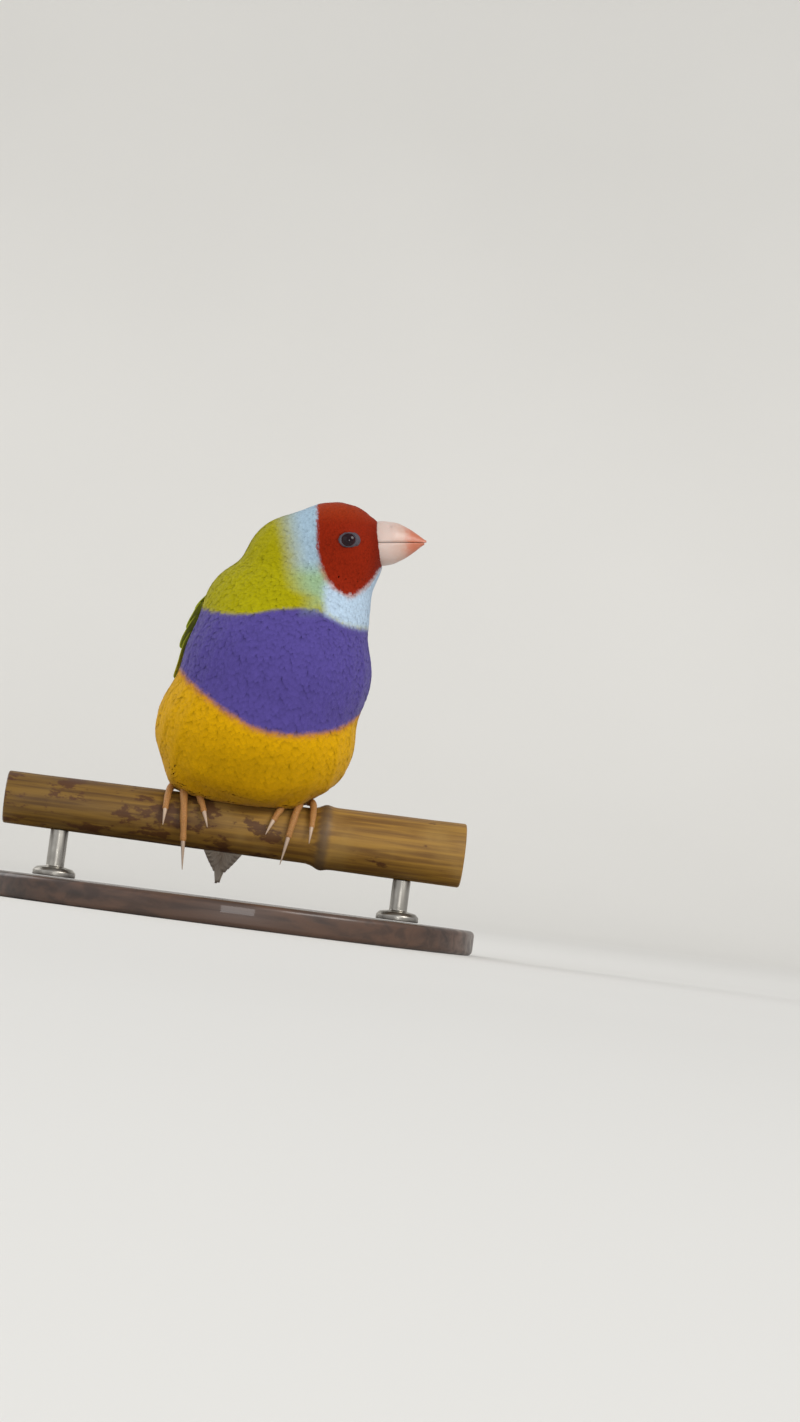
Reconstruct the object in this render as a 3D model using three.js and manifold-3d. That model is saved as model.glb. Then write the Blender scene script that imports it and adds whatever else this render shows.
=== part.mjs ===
// A life-size gouldian finch, a male with a pale lime back, gripping a short length of bamboo on a plain
// display stand. Millimetres, +Z up. The bird's breast faces -Y and its bill points to +X.
// The origin is the centre of the underside of the stand's base.
import * as THREE from 'three';
import { mergeVertices } from 'three/addons/utils/BufferGeometryUtils.js';
import Module from 'manifold-3d';

const wasm = await Module();
wasm.setup();

// Driving dimensions. Heights in the bird's own group are above the top of the perch.
const GAP = 0.3;
const CROWN_HEIGHT = 75;
const BODY_WIDTH = 44;
const HEAD_SIZE = [24.6, 21, 23];
const BILL_LENGTH = 10.7;
const BILL_DEPTH = 10.9;
const BILL_WIDTH = 9.2;
const EYE_RADIUS = 2.5;
const WING_LENGTH = 63;
const TAIL_LENGTH = 38;
const TAIL_PITCH = 44;
const FOOT_SPAN = 29;
const TOE_RADIUS = 0.78;
const VANE_THICKNESS = 0.55;
const PERCH_LENGTH = 112;
const PERCH_RADIUS = 7;
const BASE_LENGTH = 124;
const BASE_DEPTH = 96;
const BASE_THICKNESS = 6;
const ROD_RADIUS = 2.2;
const TAIL_TIP_DROP = 22;
const TAIL_CLEARANCE = 3;

// Where the bird's group stands over the base: the tail reaches further back than the breast does forward.
const PERCH_TOP_Z = BASE_THICKNESS + TAIL_CLEARANCE + TAIL_TIP_DROP;
const PERCH_Y = -11;

const vec = (x, y, z) => new THREE.Vector3(x, y, z);
const lerp = THREE.MathUtils.lerp;
const radians = THREE.MathUtils.degToRad;
const smooth = (x, low, high) => THREE.MathUtils.smoothstep(x, low, high);

// A value read from a list of [place, value] pairs, eased between them.
function profile(pairs, at) {
  if (at <= pairs[0][0]) return pairs[0][1];
  for (let i = 1; i < pairs.length; i++) {
    const [x0, y0] = pairs[i - 1];
    const [x1, y1] = pairs[i];
    if (at <= x1) return lerp(y0, y1, (at - x0) / (x1 - x0));
  }
  return pairs[pairs.length - 1][1];
}

// Solids

// A closed mesh as a manifold solid, turned to face outwards.
function toSolid(geometry) {
  const bare = geometry.clone();
  bare.deleteAttribute('normal');
  bare.deleteAttribute('uv');
  const merged = mergeVertices(bare, 1e-4);
  const triVerts = new Uint32Array(merged.index.array);
  const vertProperties = merged.attributes.position.array;
  const solid = new wasm.Manifold(new wasm.Mesh({ numProp: 3, vertProperties, triVerts }));
  if (solid.volume() > 0) return solid;
  for (let i = 0; i < triVerts.length; i += 3) {
    [triVerts[i + 1], triVerts[i + 2]] = [triVerts[i + 2], triVerts[i + 1]];
  }
  return new wasm.Manifold(new wasm.Mesh({ numProp: 3, vertProperties, triVerts }));
}

// The largest closed piece of a solid, as a three.js geometry.
function toGeometry(solid) {
  const largest = solid.decompose().reduce((a, b) => (a.volume() > b.volume() ? a : b));
  const mesh = largest.getMesh();
  const places = new Float32Array(mesh.numVert * 3);
  for (let i = 0; i < mesh.numVert; i++) {
    places.set(mesh.vertProperties.subarray(i * mesh.numProp, i * mesh.numProp + 3), i * 3);
  }
  const geometry = new THREE.BufferGeometry();
  geometry.setAttribute('position', new THREE.BufferAttribute(places, 3));
  geometry.setIndex(new THREE.BufferAttribute(new Uint32Array(mesh.triVerts), 1));
  geometry.computeVertexNormals();
  return geometry;
}

const union = (solids) => solids.reduce((a, b) => a.add(b));

// A closed skin through rings of points: a fan covers each end, or the last ring meets the first.
// Opposite faces of a thin form split alike.
function loft(rings, looped = false) {
  const count = rings[0].length;
  const points = rings.flat();
  const faces = [];
  for (let i = 0; i < rings.length - (looped ? 0 : 1); i++) {
    const next = ((i + 1) % rings.length) * count - i * count;
    for (let j = 0; j < count; j++) {
      const a = i * count + j;
      const b = i * count + ((j + 1) % count);
      if (j < count / 2) faces.push(a, b, a + next, b, b + next, a + next);
      else faces.push(a, b, b + next, a, b + next, a + next);
    }
  }
  for (const ring of looped ? [] : [0, rings.length - 1]) {
    const middle = rings[ring].reduce((sum, p) => sum.add(p), vec(0, 0, 0)).divideScalar(count);
    const hub = points.push(middle) - 1;
    for (let j = 0; j < count; j++) {
      const a = ring * count + j;
      const b = ring * count + ((j + 1) % count);
      faces.push(...(ring === 0 ? [b, a, hub] : [a, b, hub]));
    }
  }
  const geometry = new THREE.BufferGeometry().setFromPoints(points);
  geometry.setIndex(faces);
  return toSolid(geometry);
}

// A round tube along points, with a radius at each and a small dome at its end.
function tube(points, radii, sides = 7) {
  const curve = new THREE.CatmullRomCurve3(points);
  const frames = curve.computeFrenetFrames(points.length - 1);
  const rings = points.map((point, i) => {
    const ring = [];
    for (let j = 0; j < sides; j++) {
      const angle = (2 * Math.PI * j) / sides;
      const out = frames.normals[i].clone().multiplyScalar(Math.cos(angle));
      out.addScaledVector(frames.binormals[i], Math.sin(angle));
      ring.push(point.clone().addScaledVector(out, radii[i]));
    }
    return ring;
  });
  return loft(rings);
}

// The head's own frame: the bill points along forward, the crown along up, and left is the bird's left.
const HEAD = {
  centre: vec(15.2, -6, CROWN_HEIGHT - 11.2),
  turnToViewer: radians(5),
  lift: radians(7.3),
};
const headForward = vec(
  Math.cos(HEAD.turnToViewer),
  -Math.sin(HEAD.turnToViewer),
  Math.tan(HEAD.lift),
).normalize();
const headLeft = vec(0, 0, 1).cross(headForward).normalize();
const headUp = headForward.clone().cross(headLeft);

// A point in a frame of three directions.
const within = (from, [a, b, c], [x, y, z]) =>
  from.clone().addScaledVector(a, x).addScaledVector(b, y).addScaledVector(c, z);
const HEAD_AXES = [headForward, headLeft, headUp];
const atHead = (forward, left, up, from = HEAD.centre) => within(from, HEAD_AXES, [forward, left, up]);

// The body's masses: smooth egg shapes that flow into one another, each with its centre and half sizes.
// A mass may be pitched: a turn about X, in degrees, that lowers its back end.
const half = BODY_WIDTH / 2;
const MASSES = [
  { name: 'belly', centre: vec(1.5, -2.5, 17.8), radii: [half, 19.5, 16.8], pitch: 0 },
  { name: 'left flank', centre: vec(13.8, 0, 15), radii: [12.1, 15, 13.2], pitch: 0 },
  { name: 'right flank', centre: vec(-10.1, 0, 15), radii: [11.8, 15, 13.2], pitch: 0 },
  { name: 'breast', centre: vec(5.3, -5, 32), radii: [half + 0.9, 18.6, 18.6], pitch: 0 },
  { name: 'back', centre: vec(3.5, 5, 30), radii: [17, 12, 20], pitch: 26 },
  { name: 'rump', centre: vec(-0.6, 13, 13.5), radii: [10.5, 8.4, 14], pitch: 46 },
  { name: 'tail coverts', centre: vec(-1.5, 20, 7.8), radii: [5.6, 3.9, 12.5], pitch: 90 - TAIL_PITCH },
  { name: 'shoulders', centre: vec(5.2, -3.6, 44.5), radii: [19.2, 14.2, 13.5], pitch: 0 },
  { name: 'mantle', centre: vec(-2.8, -1.5, 48.8), radii: [9.6, 9, 7.2], pitch: 0 },
  { name: 'nape', centre: vec(4.8, -4.8, 58.5), radii: [10.6, 8.6, 10.9], pitch: 0 },
  { name: 'head', centre: HEAD.centre, radii: HEAD_SIZE.map((size) => size / 2 - 1), inHead: true },
  { name: 'cheeks', centre: atHead(3.6, 0, -5), radii: [6.6, 7.4, 6.2], inHead: true },
  { name: 'throat', centre: vec(16.4, -6.2, 49.5), radii: [8.4, 9, 8.6], pitch: 0 },
];
const FLOW = 1.9;

// How far a point is outside one mass, roughly in millimetres.
function massDistance(mass, point) {
  const off = point.clone().sub(mass.centre);
  if (mass.inHead) off.set(off.dot(headForward), off.dot(headLeft), off.dot(headUp));
  else off.applyAxisAngle(vec(1, 0, 0), -radians(mass.pitch));
  const [a, b, c] = mass.radii;
  const k0 = Math.hypot(off.x / a, off.y / b, off.z / c);
  const k1 = Math.hypot(off.x / (a * a), off.y / (b * b), off.z / (c * c));
  return k1 < 1e-9 ? -Math.min(a, b, c) : (k0 * (k0 - 1)) / k1;
}

// How far a point is outside the whole body: the masses' distances, flowed together.
function bodyDistance(point) {
  let sum = 0;
  for (const mass of MASSES) sum += Math.exp(-massDistance(mass, point) / FLOW);
  return -FLOW * Math.log(sum);
}

// The distance from an inner point, along a direction, to where a field reaches a level.
function reach(field, from, direction, level = 0, furthest = 45) {
  const step = 1.5;
  let near = 0;
  const inside = (distance) => field(from.clone().addScaledVector(direction, distance)) < level;
  while (near < furthest && inside(near + step)) near += step;
  let far = near + step;
  for (let i = 0; i < 22; i++) {
    const middle = (near + far) / 2;
    if (inside(middle)) near = middle;
    else far = middle;
  }
  return near;
}

// The body's middle line, from the tail root to the crown. Each station is a flat section with its normal.
const STATIONS = [
  { at: vec(-1.6, 25.5, 2.8), normal: vec(0.02, -0.72, 0.69) },
  { at: vec(-1.2, 20.5, 7.5), normal: vec(0.03, -0.66, 0.75) },
  { at: vec(-0.4, 14, 12), normal: vec(0.06, -0.52, 0.85) },
  { at: vec(1, 6.5, 17), normal: vec(0.09, -0.36, 0.93) },
  { at: vec(3, 0.5, 27), normal: vec(0.11, -0.16, 0.98) },
  { at: vec(5, -2.5, 38), normal: vec(0.13, -0.02, 0.99) },
  { at: vec(7.4, -3.8, 46.5), normal: vec(0.22, 0.04, 0.97) },
  { at: vec(10.5, -4.8, 53.5), normal: vec(0.3, 0.02, 0.95) },
  { at: vec(14, -6, 62), normal: vec(0.16, 0, 0.99) },
  { at: vec(15, -6, 70), normal: vec(0.02, 0, 1) },
  { at: vec(15, -6, 74.6), normal: vec(-0.05, 0, 1) },
];
const middleLine = new THREE.CatmullRomCurve3(STATIONS.map((s) => s.at));
const normalLine = new THREE.CatmullRomCurve3(STATIONS.map((s) => s.normal));
const SIDES = 28;

function ringAt(t, shift, level, sides) {
  const normal = normalLine.getPoint(t).normalize();
  const centre = middleLine.getPoint(t).addScaledVector(normal, shift);
  const back = vec(0, 1, 0).addScaledVector(normal, -normal.y).normalize();
  const side = normal.clone().cross(back);
  const ring = [];
  for (let j = 0; j < sides; j++) {
    const angle = (2 * Math.PI * j) / sides;
    const out = back.clone().multiplyScalar(Math.cos(angle)).addScaledVector(side, Math.sin(angle));
    ring.push(centre.clone().addScaledVector(out, reach(bodyDistance, centre, out, level)));
  }
  return ring;
}

// The stretch of the body between two places on its middle line. A cut end stands back by half the gap.
const STRETCH = { level: 0, startGap: GAP / 2, endGap: GAP / 2, sides: SIDES };
function bodyStretch(from, to, count, options = {}) {
  const { level, startGap, endGap, sides } = { ...STRETCH, ...options };
  const rings = [];
  for (let i = 0; i <= count; i++) {
    const shift = i === 0 ? startGap : i === count ? -endGap : 0;
    rings.push(ringAt(lerp(from, to, i / count), shift, level, sides));
  }
  return loft(rings);
}

// Places of the cuts on the middle line, as shares of its stations.
const CUTS = { tail: 0.03, rump: 0.2, neck: 0.6, head: 0.685, crown: 0.995 };
// The body grown by a little over the gap, which its neighbours are cut by.
const GROWN = { level: GAP + 0.15, startGap: -0.1, endGap: -GAP };
const grownBody = bodyStretch(CUTS.tail, CUTS.crown, 30, GROWN);

// Head, with sockets and lids
const EYE = { forward: 3.6, side: HEAD_SIZE[1] / 2 - 2.9, up: 0.1 };
const LID = { radius: 2.25, thickness: 0.42 };

function eyeCentre(side) {
  return atHead(EYE.forward, side * EYE.side, EYE.up);
}

// The lids: a slim almond ring on the face, round the opening of the socket.
function lid(side) {
  const outward = headLeft.clone().multiplyScalar(side);
  const steps = 16;
  const rings = Array.from({ length: steps }, (_, i) => {
    const turn = (2 * Math.PI * i) / steps;
    const radial = within(vec(0, 0, 0), HEAD_AXES, [Math.cos(turn), 0, Math.sin(turn)]);
    const size = LID.radius * (1 + 0.1 * Math.cos(2 * turn));
    const from = eyeCentre(side).addScaledVector(radial, size);
    const centre = from.clone().addScaledVector(outward, reach(bodyDistance, from, outward) - 0.05);
    return Array.from({ length: 6 }, (_, j) => {
      const angle = (2 * Math.PI * j) / 6;
      const round = outward.clone().multiplyScalar(Math.sin(angle)).addScaledVector(radial, Math.cos(angle));
      return centre.clone().addScaledVector(round, LID.thickness);
    });
  });
  return loft(rings, true);
}

function ball(centre, radius, across = 14, down = 9) {
  const sphere = new THREE.SphereGeometry(radius, across, down);
  sphere.translate(centre.x, centre.y, centre.z);
  return toSolid(sphere);
}

function makeHead() {
  let head = bodyStretch(CUTS.head, CUTS.crown, 15, { endGap: 0 });
  for (const side of [-1, 1]) {
    head = head.add(lid(side)).subtract(ball(eyeCentre(side), EYE_RADIUS + GAP));
  }
  return head;
}

// Bill: heights above and below the mouth line, and half widths, by distance from the base
const BILL = {
  root: atHead(HEAD_SIZE[0] / 2 - 0.9, 0, 0.45),
  culmen: [[-4, 5.2], [0, 5.5], [3.7, 4.9], [6.6, 3.4], [9.3, 1.5], [BILL_LENGTH, 0.3]],
  keel: [[-4, 4.8], [0, 5.2], [2.7, 4.8], [6, 3.3], [8.8, 1.4], [BILL_LENGTH - 0.5, 0.3]],
  width: [[-4, 4.7], [0, BILL_WIDTH / 2], [3, 4], [6, 2.7], [9, 1.2], [BILL_LENGTH, 0.25]],
  mouthDrop: [[-4, 0.6], [0, 0.4], [6, 0.2], [BILL_LENGTH, 0]],
};
BILL.scale = BILL_DEPTH / (profile(BILL.culmen, 0) + profile(BILL.keel, 0));

function mandible(upper) {
  const heights = upper ? BILL.culmen : BILL.keel;
  const end = heights[heights.length - 1][0];
  const rings = [];
  const steps = 12;
  const arc = 10;
  for (let i = 0; i <= steps; i++) {
    const along = lerp(-4, end, (i / steps) ** 0.85);
    const height = profile(heights, along) * BILL.scale - GAP / 2;
    const width = profile(BILL.width, along);
    const mouth = -profile(BILL.mouthDrop, along) + (upper ? GAP / 2 : -GAP / 2);
    const ring = [];
    for (let j = 0; j <= arc; j++) {
      const angle = (Math.PI * j) / arc;
      const rise = Math.sin(angle) ** 0.92 * Math.max(height, 0.12);
      ring.push(atHead(along, Math.cos(angle) * width, mouth + (upper ? rise : -rise), BILL.root));
    }
    rings.push(ring);
  }
  return loft(rings);
}

function nostril(side) {
  const place = atHead(1.9, side * 2.4, 3.9, BILL.root);
  return ball(place, 0.55, 8, 6);
}

function makeUpperBill() {
  return mandible(true).subtract(grownBody).subtract(nostril(-1)).subtract(nostril(1));
}

// Wings. Each lies on the body over a chart: a place along the bird's side line, an angle from its back
// and a height over the bed.
const sideLine = new THREE.CatmullRomCurve3([
  vec(5.6, -2, 47), vec(4, 1.5, 35), vec(1.6, 7.5, 22), vec(-0.5, 15.5, 11),
  vec(-1.5, 23.5, 3.5), vec(-1.9, 33, -4.2), vec(-2.2, 43, -12.6),
]);
const SIDE_LENGTH = sideLine.getLength();

// The tail's own frame, from its root at the rump.
const TAIL = {
  root: vec(-1.55, 22.5, 5.3),
  direction: vec(-0.03, 1, 0).applyAxisAngle(vec(1, 0, 0), -radians(TAIL_PITCH)).normalize(),
};
const tailAcross = vec(1, 0, 0).addScaledVector(TAIL.direction, -TAIL.direction.x).normalize();
const tailUp = TAIL.direction.clone().cross(tailAcross).negate();
const TAIL_AXES = [TAIL.direction, tailAcross, tailUp];
const atTail = (along, across, up) => within(TAIL.root, TAIL_AXES, [along, across, up]);

// The wings' bed: the body, and a slim mass over the tail that the wing tips lie on.
const WING_BED = { centre: atTail(2, 0, 0.9), radii: [6, 1.8, 34], pitch: 90 - TAIL_PITCH };
function bedDistance(point) {
  const body = bodyDistance(point);
  return -FLOW * Math.log(Math.exp(-body / FLOW) + Math.exp(-massDistance(WING_BED, point) / FLOW));
}

function wingPoint(side, along, angle, height) {
  const u = Math.min(along / SIDE_LENGTH, 1);
  const from = sideLine.getPointAt(u);
  const tangent = sideLine.getTangentAt(u);
  const back = vec(0, 1, 0.55).addScaledVector(tangent, -vec(0, 1, 0.55).dot(tangent)).normalize();
  const lateral = vec(1, 0, 0).addScaledVector(tangent, -tangent.x).normalize().multiplyScalar(side);
  const out = back.multiplyScalar(Math.cos(angle)).addScaledVector(lateral, Math.sin(angle)).normalize();
  const radius = reach(bedDistance, from, out);
  return { point: from.addScaledVector(out, radius + height), radius };
}

// The wing's upper and lower edges as angles from the back's middle, in degrees, by place along.
const UPPER_EDGE = [[0, 48], [10, 30], [25, 13], [40, 8], [52, 8], [64, 10]];
const LOWER_EDGE = [[0, 66], [3, 80], [8, 87], [18, 90], [30, 88], [40, 82], [50, 68], [58, 52], [64, 34]];
const acrossWing = (along, share) =>
  radians(lerp(profile(UPPER_EDGE, along), profile(LOWER_EDGE, along), share));

// A wing's underside starts inside the body, which then cuts it, and runs free over the tail.
const underside = (along) => lerp(-0.9, 0.15, smooth(along, 42, 48));

// A curved slab over the body's side, with its outer face raised by a thickness read by place along.
function wingSlab(side, { from, to, thicknesses, shares = [0, 1], long = 13, wide = 6 }) {
  const rings = [];
  for (let i = 0; i <= long; i++) {
    const along = lerp(from, to, i / long);
    const thick = profile(thicknesses, along);
    const angle = (j) => acrossWing(along, lerp(...shares, j / wide));
    const crowned = (j) => 0.36 + thick * (1 - 0.35 * Math.abs((2 * j) / wide - 1) ** 3);
    const ring = [];
    for (let j = 0; j <= wide; j++) ring.push(wingPoint(side, along, angle(j), crowned(j)).point);
    for (let j = wide; j >= 0; j--) ring.push(wingPoint(side, along, angle(j), underside(along)).point);
    rings.push(ring);
  }
  return loft(rings);
}

// One vane: a thin blade from root to tip, laid on the chart. Its lower edge is proud, its upper edge is
// tucked in.
const SHINGLE = 0.16;
function wingVane(side, { from, to, shares, width, lifts, point = 0.3, steps = 5 }) {
  const rings = [];
  for (let i = 0; i <= steps; i++) {
    const t = (i / steps) ** 0.9;
    const along = lerp(from, to, t);
    const middle = acrossWing(along, lerp(...shares, t));
    const radius = wingPoint(side, along, middle, 0).radius;
    const rounding = Math.sqrt(Math.max(0.02, 1 - Math.max(0, (t - 1 + point) / point) ** 2));
    const halfWidth = Math.max(0.35, (width / 2) * Math.min(1, 0.6 + 2 * t) * rounding);
    const corner = (edge, face) => {
      const angle = Math.max(middle + (edge * halfWidth) / radius, 1.1 / radius);
      const proud = SHINGLE * (angle - middle) * radius;
      return wingPoint(side, along, angle, lerp(...lifts, t) + proud + (face * VANE_THICKNESS) / 2).point;
    };
    rings.push([corner(-1, 1), corner(1, 1), corner(1, -1), corner(-1, -1)]);
  }
  return loft(rings);
}

// Tiers of vanes, from the lowest layer to the top one. Each tier runs from the wing's lower edge up.
const PRIMARY_TIPS = [59.5, 62.6, 61, 57.5, 53.8, 50];
const SECONDARIES = 5;
const TERTIALS = 3;
const GREATER_COVERTS = 7;
const MEDIAN_COVERTS = 6;
const LESSER_COVERTS = 5;

function tier(count, vane) {
  return Array.from({ length: count }, (_, i) => vane(i / (count - 1), i));
}

function wingVanes(side) {
  const primaries = tier(PRIMARY_TIPS.length, (up, i) => wingVane(side, {
    from: 24 + 4 * up, to: PRIMARY_TIPS[i], shares: [lerp(0.92, 0.66, up), lerp(0.86, 0.2, up)],
    width: 4.4, lifts: [1.2 + 0.06 * i, 0.75 + 0.28 * i], point: 0.22,
  }));
  const secondaries = tier(SECONDARIES, (up) => wingVane(side, {
    from: 19, to: 47 - 4 * up, shares: [lerp(0.8, 0.4, up), lerp(0.68, 0.3, up)],
    width: 5, lifts: [1.35, 2.35 + 0.3 * up], point: 0.22, steps: 4,
  }));
  const tertials = tier(TERTIALS, (up) => wingVane(side, {
    from: 16, to: 43 - 13 * up, shares: [lerp(0.36, 0.18, up), lerp(0.22, 0.14, up)],
    width: 5.6, lifts: [1.5, 2.9 + 0.35 * up], point: 0.35, steps: 4,
  }));
  const greater = tier(GREATER_COVERTS, (up) => wingVane(side, {
    from: 12, to: 25.5 + 1.8 * Math.sin(Math.PI * up), shares: [lerp(0.93, 0.2, up), lerp(0.9, 0.2, up)],
    width: 4.8, lifts: [1.35, 2.6], point: 0.4, steps: 3,
  }));
  const median = tier(MEDIAN_COVERTS, (up) => wingVane(side, {
    from: 7, to: 16.5 + 1.2 * Math.sin(Math.PI * up), shares: [lerp(0.92, 0.22, up), lerp(0.9, 0.22, up)],
    width: 4.8, lifts: [1.6, 2.9], point: 0.5, steps: 3,
  }));
  const lesser = tier(LESSER_COVERTS, (up) => wingVane(side, {
    from: 2.5, to: 9.5 + Math.sin(Math.PI * up), shares: [lerp(0.9, 0.25, up), lerp(0.9, 0.25, up)],
    width: 4.6, lifts: [1.4, 2.9], point: 0.6, steps: 2,
  }));
  return [...primaries, ...secondaries, ...tertials, ...greater, ...median, ...lesser];
}

function makeWing(side) {
  const thicknesses = [[0.5, 0.8], [3, 1.9], [12, 1.9], [20, 1.5], [40, 1.25]];
  const arm = wingSlab(side, { from: 0.5, to: 40, thicknesses, shares: [0.05, 0.95], long: 9, wide: 5 });
  return union([arm, ...wingVanes(side)]).subtract(grownBody);
}

// Tail: six pairs of vanes, the middle pair on top and drawn out to a fine point
const TAIL_PAIRS = 6;
const FINE_VANE = [[0, 1], [0.5, 1], [0.75, 0.6], [0.9, 0.36], [1, 0.16]];
const BLUNT_VANE = [[0, 0.8], [0.3, 1], [0.75, 1], [0.9, 0.75], [1, 0.3]];
function tailVane(side, pair) {
  const length = pair === 0 ? TAIL_LENGTH : 31.5 - 2.4 * pair;
  const shape = pair === 0 ? FINE_VANE : BLUNT_VANE;
  const steps = 5;
  const rings = [];
  for (let i = 0; i <= steps; i++) {
    const t = (i / steps) ** 0.8;
    const along = length * t;
    const halfWidth = 2.3 * profile(shape, t);
    const middle = side * (0.3 + 0.42 * pair + radians(1.7 * pair) * along);
    const layer = -0.42 * pair - (side > 0 ? 0 : 0.36) * (pair === 0 ? 1 : 0);
    const corner = (edge, face) => {
      const across = middle + edge * halfWidth;
      const arch = -0.018 * across * across - SHINGLE * side * edge * halfWidth;
      return atTail(along, across, layer + arch + (face * VANE_THICKNESS) / 2);
    };
    rings.push([corner(-1, 1), corner(1, 1), corner(1, -1), corner(-1, -1)]);
  }
  return loft(rings);
}

function makeTail() {
  const vanes = [];
  for (let pair = 0; pair < TAIL_PAIRS; pair++) {
    for (const side of [-1, 1]) vanes.push(tailVane(side, pair));
  }
  const core = loft([[0.3, 4, 1.7], [6, 3.6, 1.3], [11, 2.2, 0.7]].map(([along, wide, deep]) =>
    Array.from({ length: 12 }, (_, j) => {
      const angle = (2 * Math.PI * j) / 12;
      return atTail(along, wide * Math.cos(angle), -1.3 + deep * Math.sin(angle));
    })));
  return union([core, ...vanes]).subtract(grownBody);
}

// Perch: a length of bamboo, thicker on the bird's left of its node ring
const RING_X = 21.5;
const culmRadius = (x) => {
  const joint = Math.exp(-(((x - RING_X) / 1.5) ** 2));
  return PERCH_RADIUS + lerp(-0.3, 0.5, smooth(x, RING_X - 4, RING_X + 1)) + 0.006 * x + 0.5 * joint;
};

function makePerch(sink = 0) {
  const end = PERCH_LENGTH / 2;
  const pith = 3.1;
  const pithDepth = 1.6;
  const chamfer = 0.4;
  const outline = [[0, -end + pithDepth], [pith, -end + pithDepth], [pith, -end]];
  const stops = [-end + chamfer, -28, 0];
  for (const beside of [-5, -2.4, -1, 0, 1, 2.4]) stops.push(RING_X + beside);
  stops.push(end - chamfer);
  outline.push([culmRadius(-end) - chamfer, -end]);
  for (const x of stops) outline.push([culmRadius(x) + sink, x]);
  outline.push([culmRadius(end) - chamfer, end], [pith, end], [pith, end - pithDepth], [0, end - pithDepth]);
  const lathe = new THREE.LatheGeometry(outline.map(([r, x]) => new THREE.Vector2(r, x)), 24);
  lathe.rotateZ(-Math.PI / 2);
  lathe.translate(0, 0, -PERCH_RADIUS);
  return toSolid(lathe);
}
const grownPerch = makePerch(GAP);

// Feet. Each toe lies round the perch: an angle from the top of it, and a place along it.
const TOES = [
  { name: 'back', turn: -1, reach: 84, start: 1, end: 1.5, clawTurn: 46, girth: 1.05 },
  { name: 'inner', turn: 1, reach: 74, start: 1.1, end: 4.6, clawTurn: 34, girth: 0.95 },
  { name: 'middle', turn: 1, reach: 110, start: 0, end: 0.5, clawTurn: 6, girth: 1 },
  { name: 'outer', turn: 1, reach: 78, start: -1.1, end: -4.8, clawTurn: 34, girth: 0.92 },
];
const FEET = {
  left: { x: FOOT_SPAN / 2 + 1.2, inward: -1, skew: -2.2, middleReach: 100 },
  right: { x: -FOOT_SPAN / 2 + 0.4, inward: 1, skew: 1.7, middleReach: 130 },
};

// A point over the perch: round it up to a quarter turn, then straight down past it.
function onPerch(x, angle, lift) {
  const radius = culmRadius(x) + lift;
  const turn = Math.min(Math.abs(angle), Math.PI / 2);
  const hang = (Math.abs(angle) - turn) * radius;
  return vec(x, -Math.sign(angle) * Math.sin(turn) * radius, Math.cos(turn) * radius - PERCH_RADIUS - hang);
}

function toePath(foot, toe, from, to, steps, lift) {
  const points = [];
  for (let i = 0; i <= steps; i++) {
    const share = lerp(from, to, i / steps);
    const spread = lerp(toe.start, toe.end, Math.sqrt(Math.max(0, share))) * foot.inward;
    const lean = toe.turn > 0 ? foot.skew * share : 0;
    const reachAngle = toe.name === 'middle' ? foot.middleReach : toe.reach;
    points.push(onPerch(foot.x + spread + lean, toe.turn * radians(reachAngle) * share, lift(share)));
  }
  return points;
}

function makeLeg(foot) {
  const pieces = TOES.map((toe) => {
    const steps = 9;
    const thickness = TOE_RADIUS * toe.girth;
    const path = toePath(foot, toe, 0, 1, steps, (s) => GAP + 0.1 + thickness + 0.35 * (1 - s) ** 3);
    const radii = path.map((_, i) => {
      const share = i / steps;
      const joint = 0.09 * Math.cos(share * 3 * 2 * Math.PI);
      return thickness * lerp(1.12, 0.86, share) * (1 + joint);
    });
    return tube(path, radii);
  });
  const sole = onPerch(foot.x, 0, TOE_RADIUS + GAP + 0.5);
  const shank = [0, 0.4, 1].map((up) => sole.clone().add(vec(-0.2 * foot.inward * up, 2.2 * up, 6.2 * up)));
  pieces.push(ball(sole, 1.5, 10, 7), tube(shank, [1.25, 1.05, 1.3], 10));
  return union(pieces).subtract(grownBody).subtract(grownPerch);
}

function makeClaw(foot, toe) {
  const steps = 6;
  const last = toePath(foot, toe, 0.96, 1, 1, () => GAP + 0.1 + TOE_RADIUS * toe.girth);
  const start = last[1];
  const heading = last[1].clone().sub(last[0]).normalize();
  const outward = vec(0, start.y, start.z + PERCH_RADIUS).normalize();
  const length = toe.name === 'middle' ? 6.6 : 3.8;
  const points = [];
  const radii = [];
  const point = start.clone().addScaledVector(heading, GAP + 0.05);
  for (let i = 0; i <= steps; i++) {
    const share = i / steps;
    points.push(point.clone());
    radii.push(lerp(0.5, 0.12, share ** 1.1));
    const bend = radians(toe.clawTurn) * (share + 0.5 / steps);
    const lift = 0.22 * (1 - share) - 0.5 * Math.sin(bend) * share;
    const step = heading.clone().multiplyScalar(Math.cos(bend)).addScaledVector(outward, lift);
    point.addScaledVector(step.normalize(), length / steps);
  }
  return tube(points, radii, 6).subtract(grownPerch);
}

// Stand
function makeBase() {
  const shape = new THREE.Shape();
  const bevel = 1.2;
  shape.absellipse(0, 0, BASE_LENGTH / 2 - bevel, BASE_DEPTH / 2 - bevel, 0, 2 * Math.PI);
  const plate = new THREE.ExtrudeGeometry(shape, {
    depth: BASE_THICKNESS - 2 * bevel,
    bevelEnabled: true,
    bevelThickness: bevel,
    bevelSize: bevel,
    bevelSegments: 2,
    curveSegments: 20,
  });
  plate.translate(0, 0, bevel);
  return toSolid(plate);
}

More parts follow.
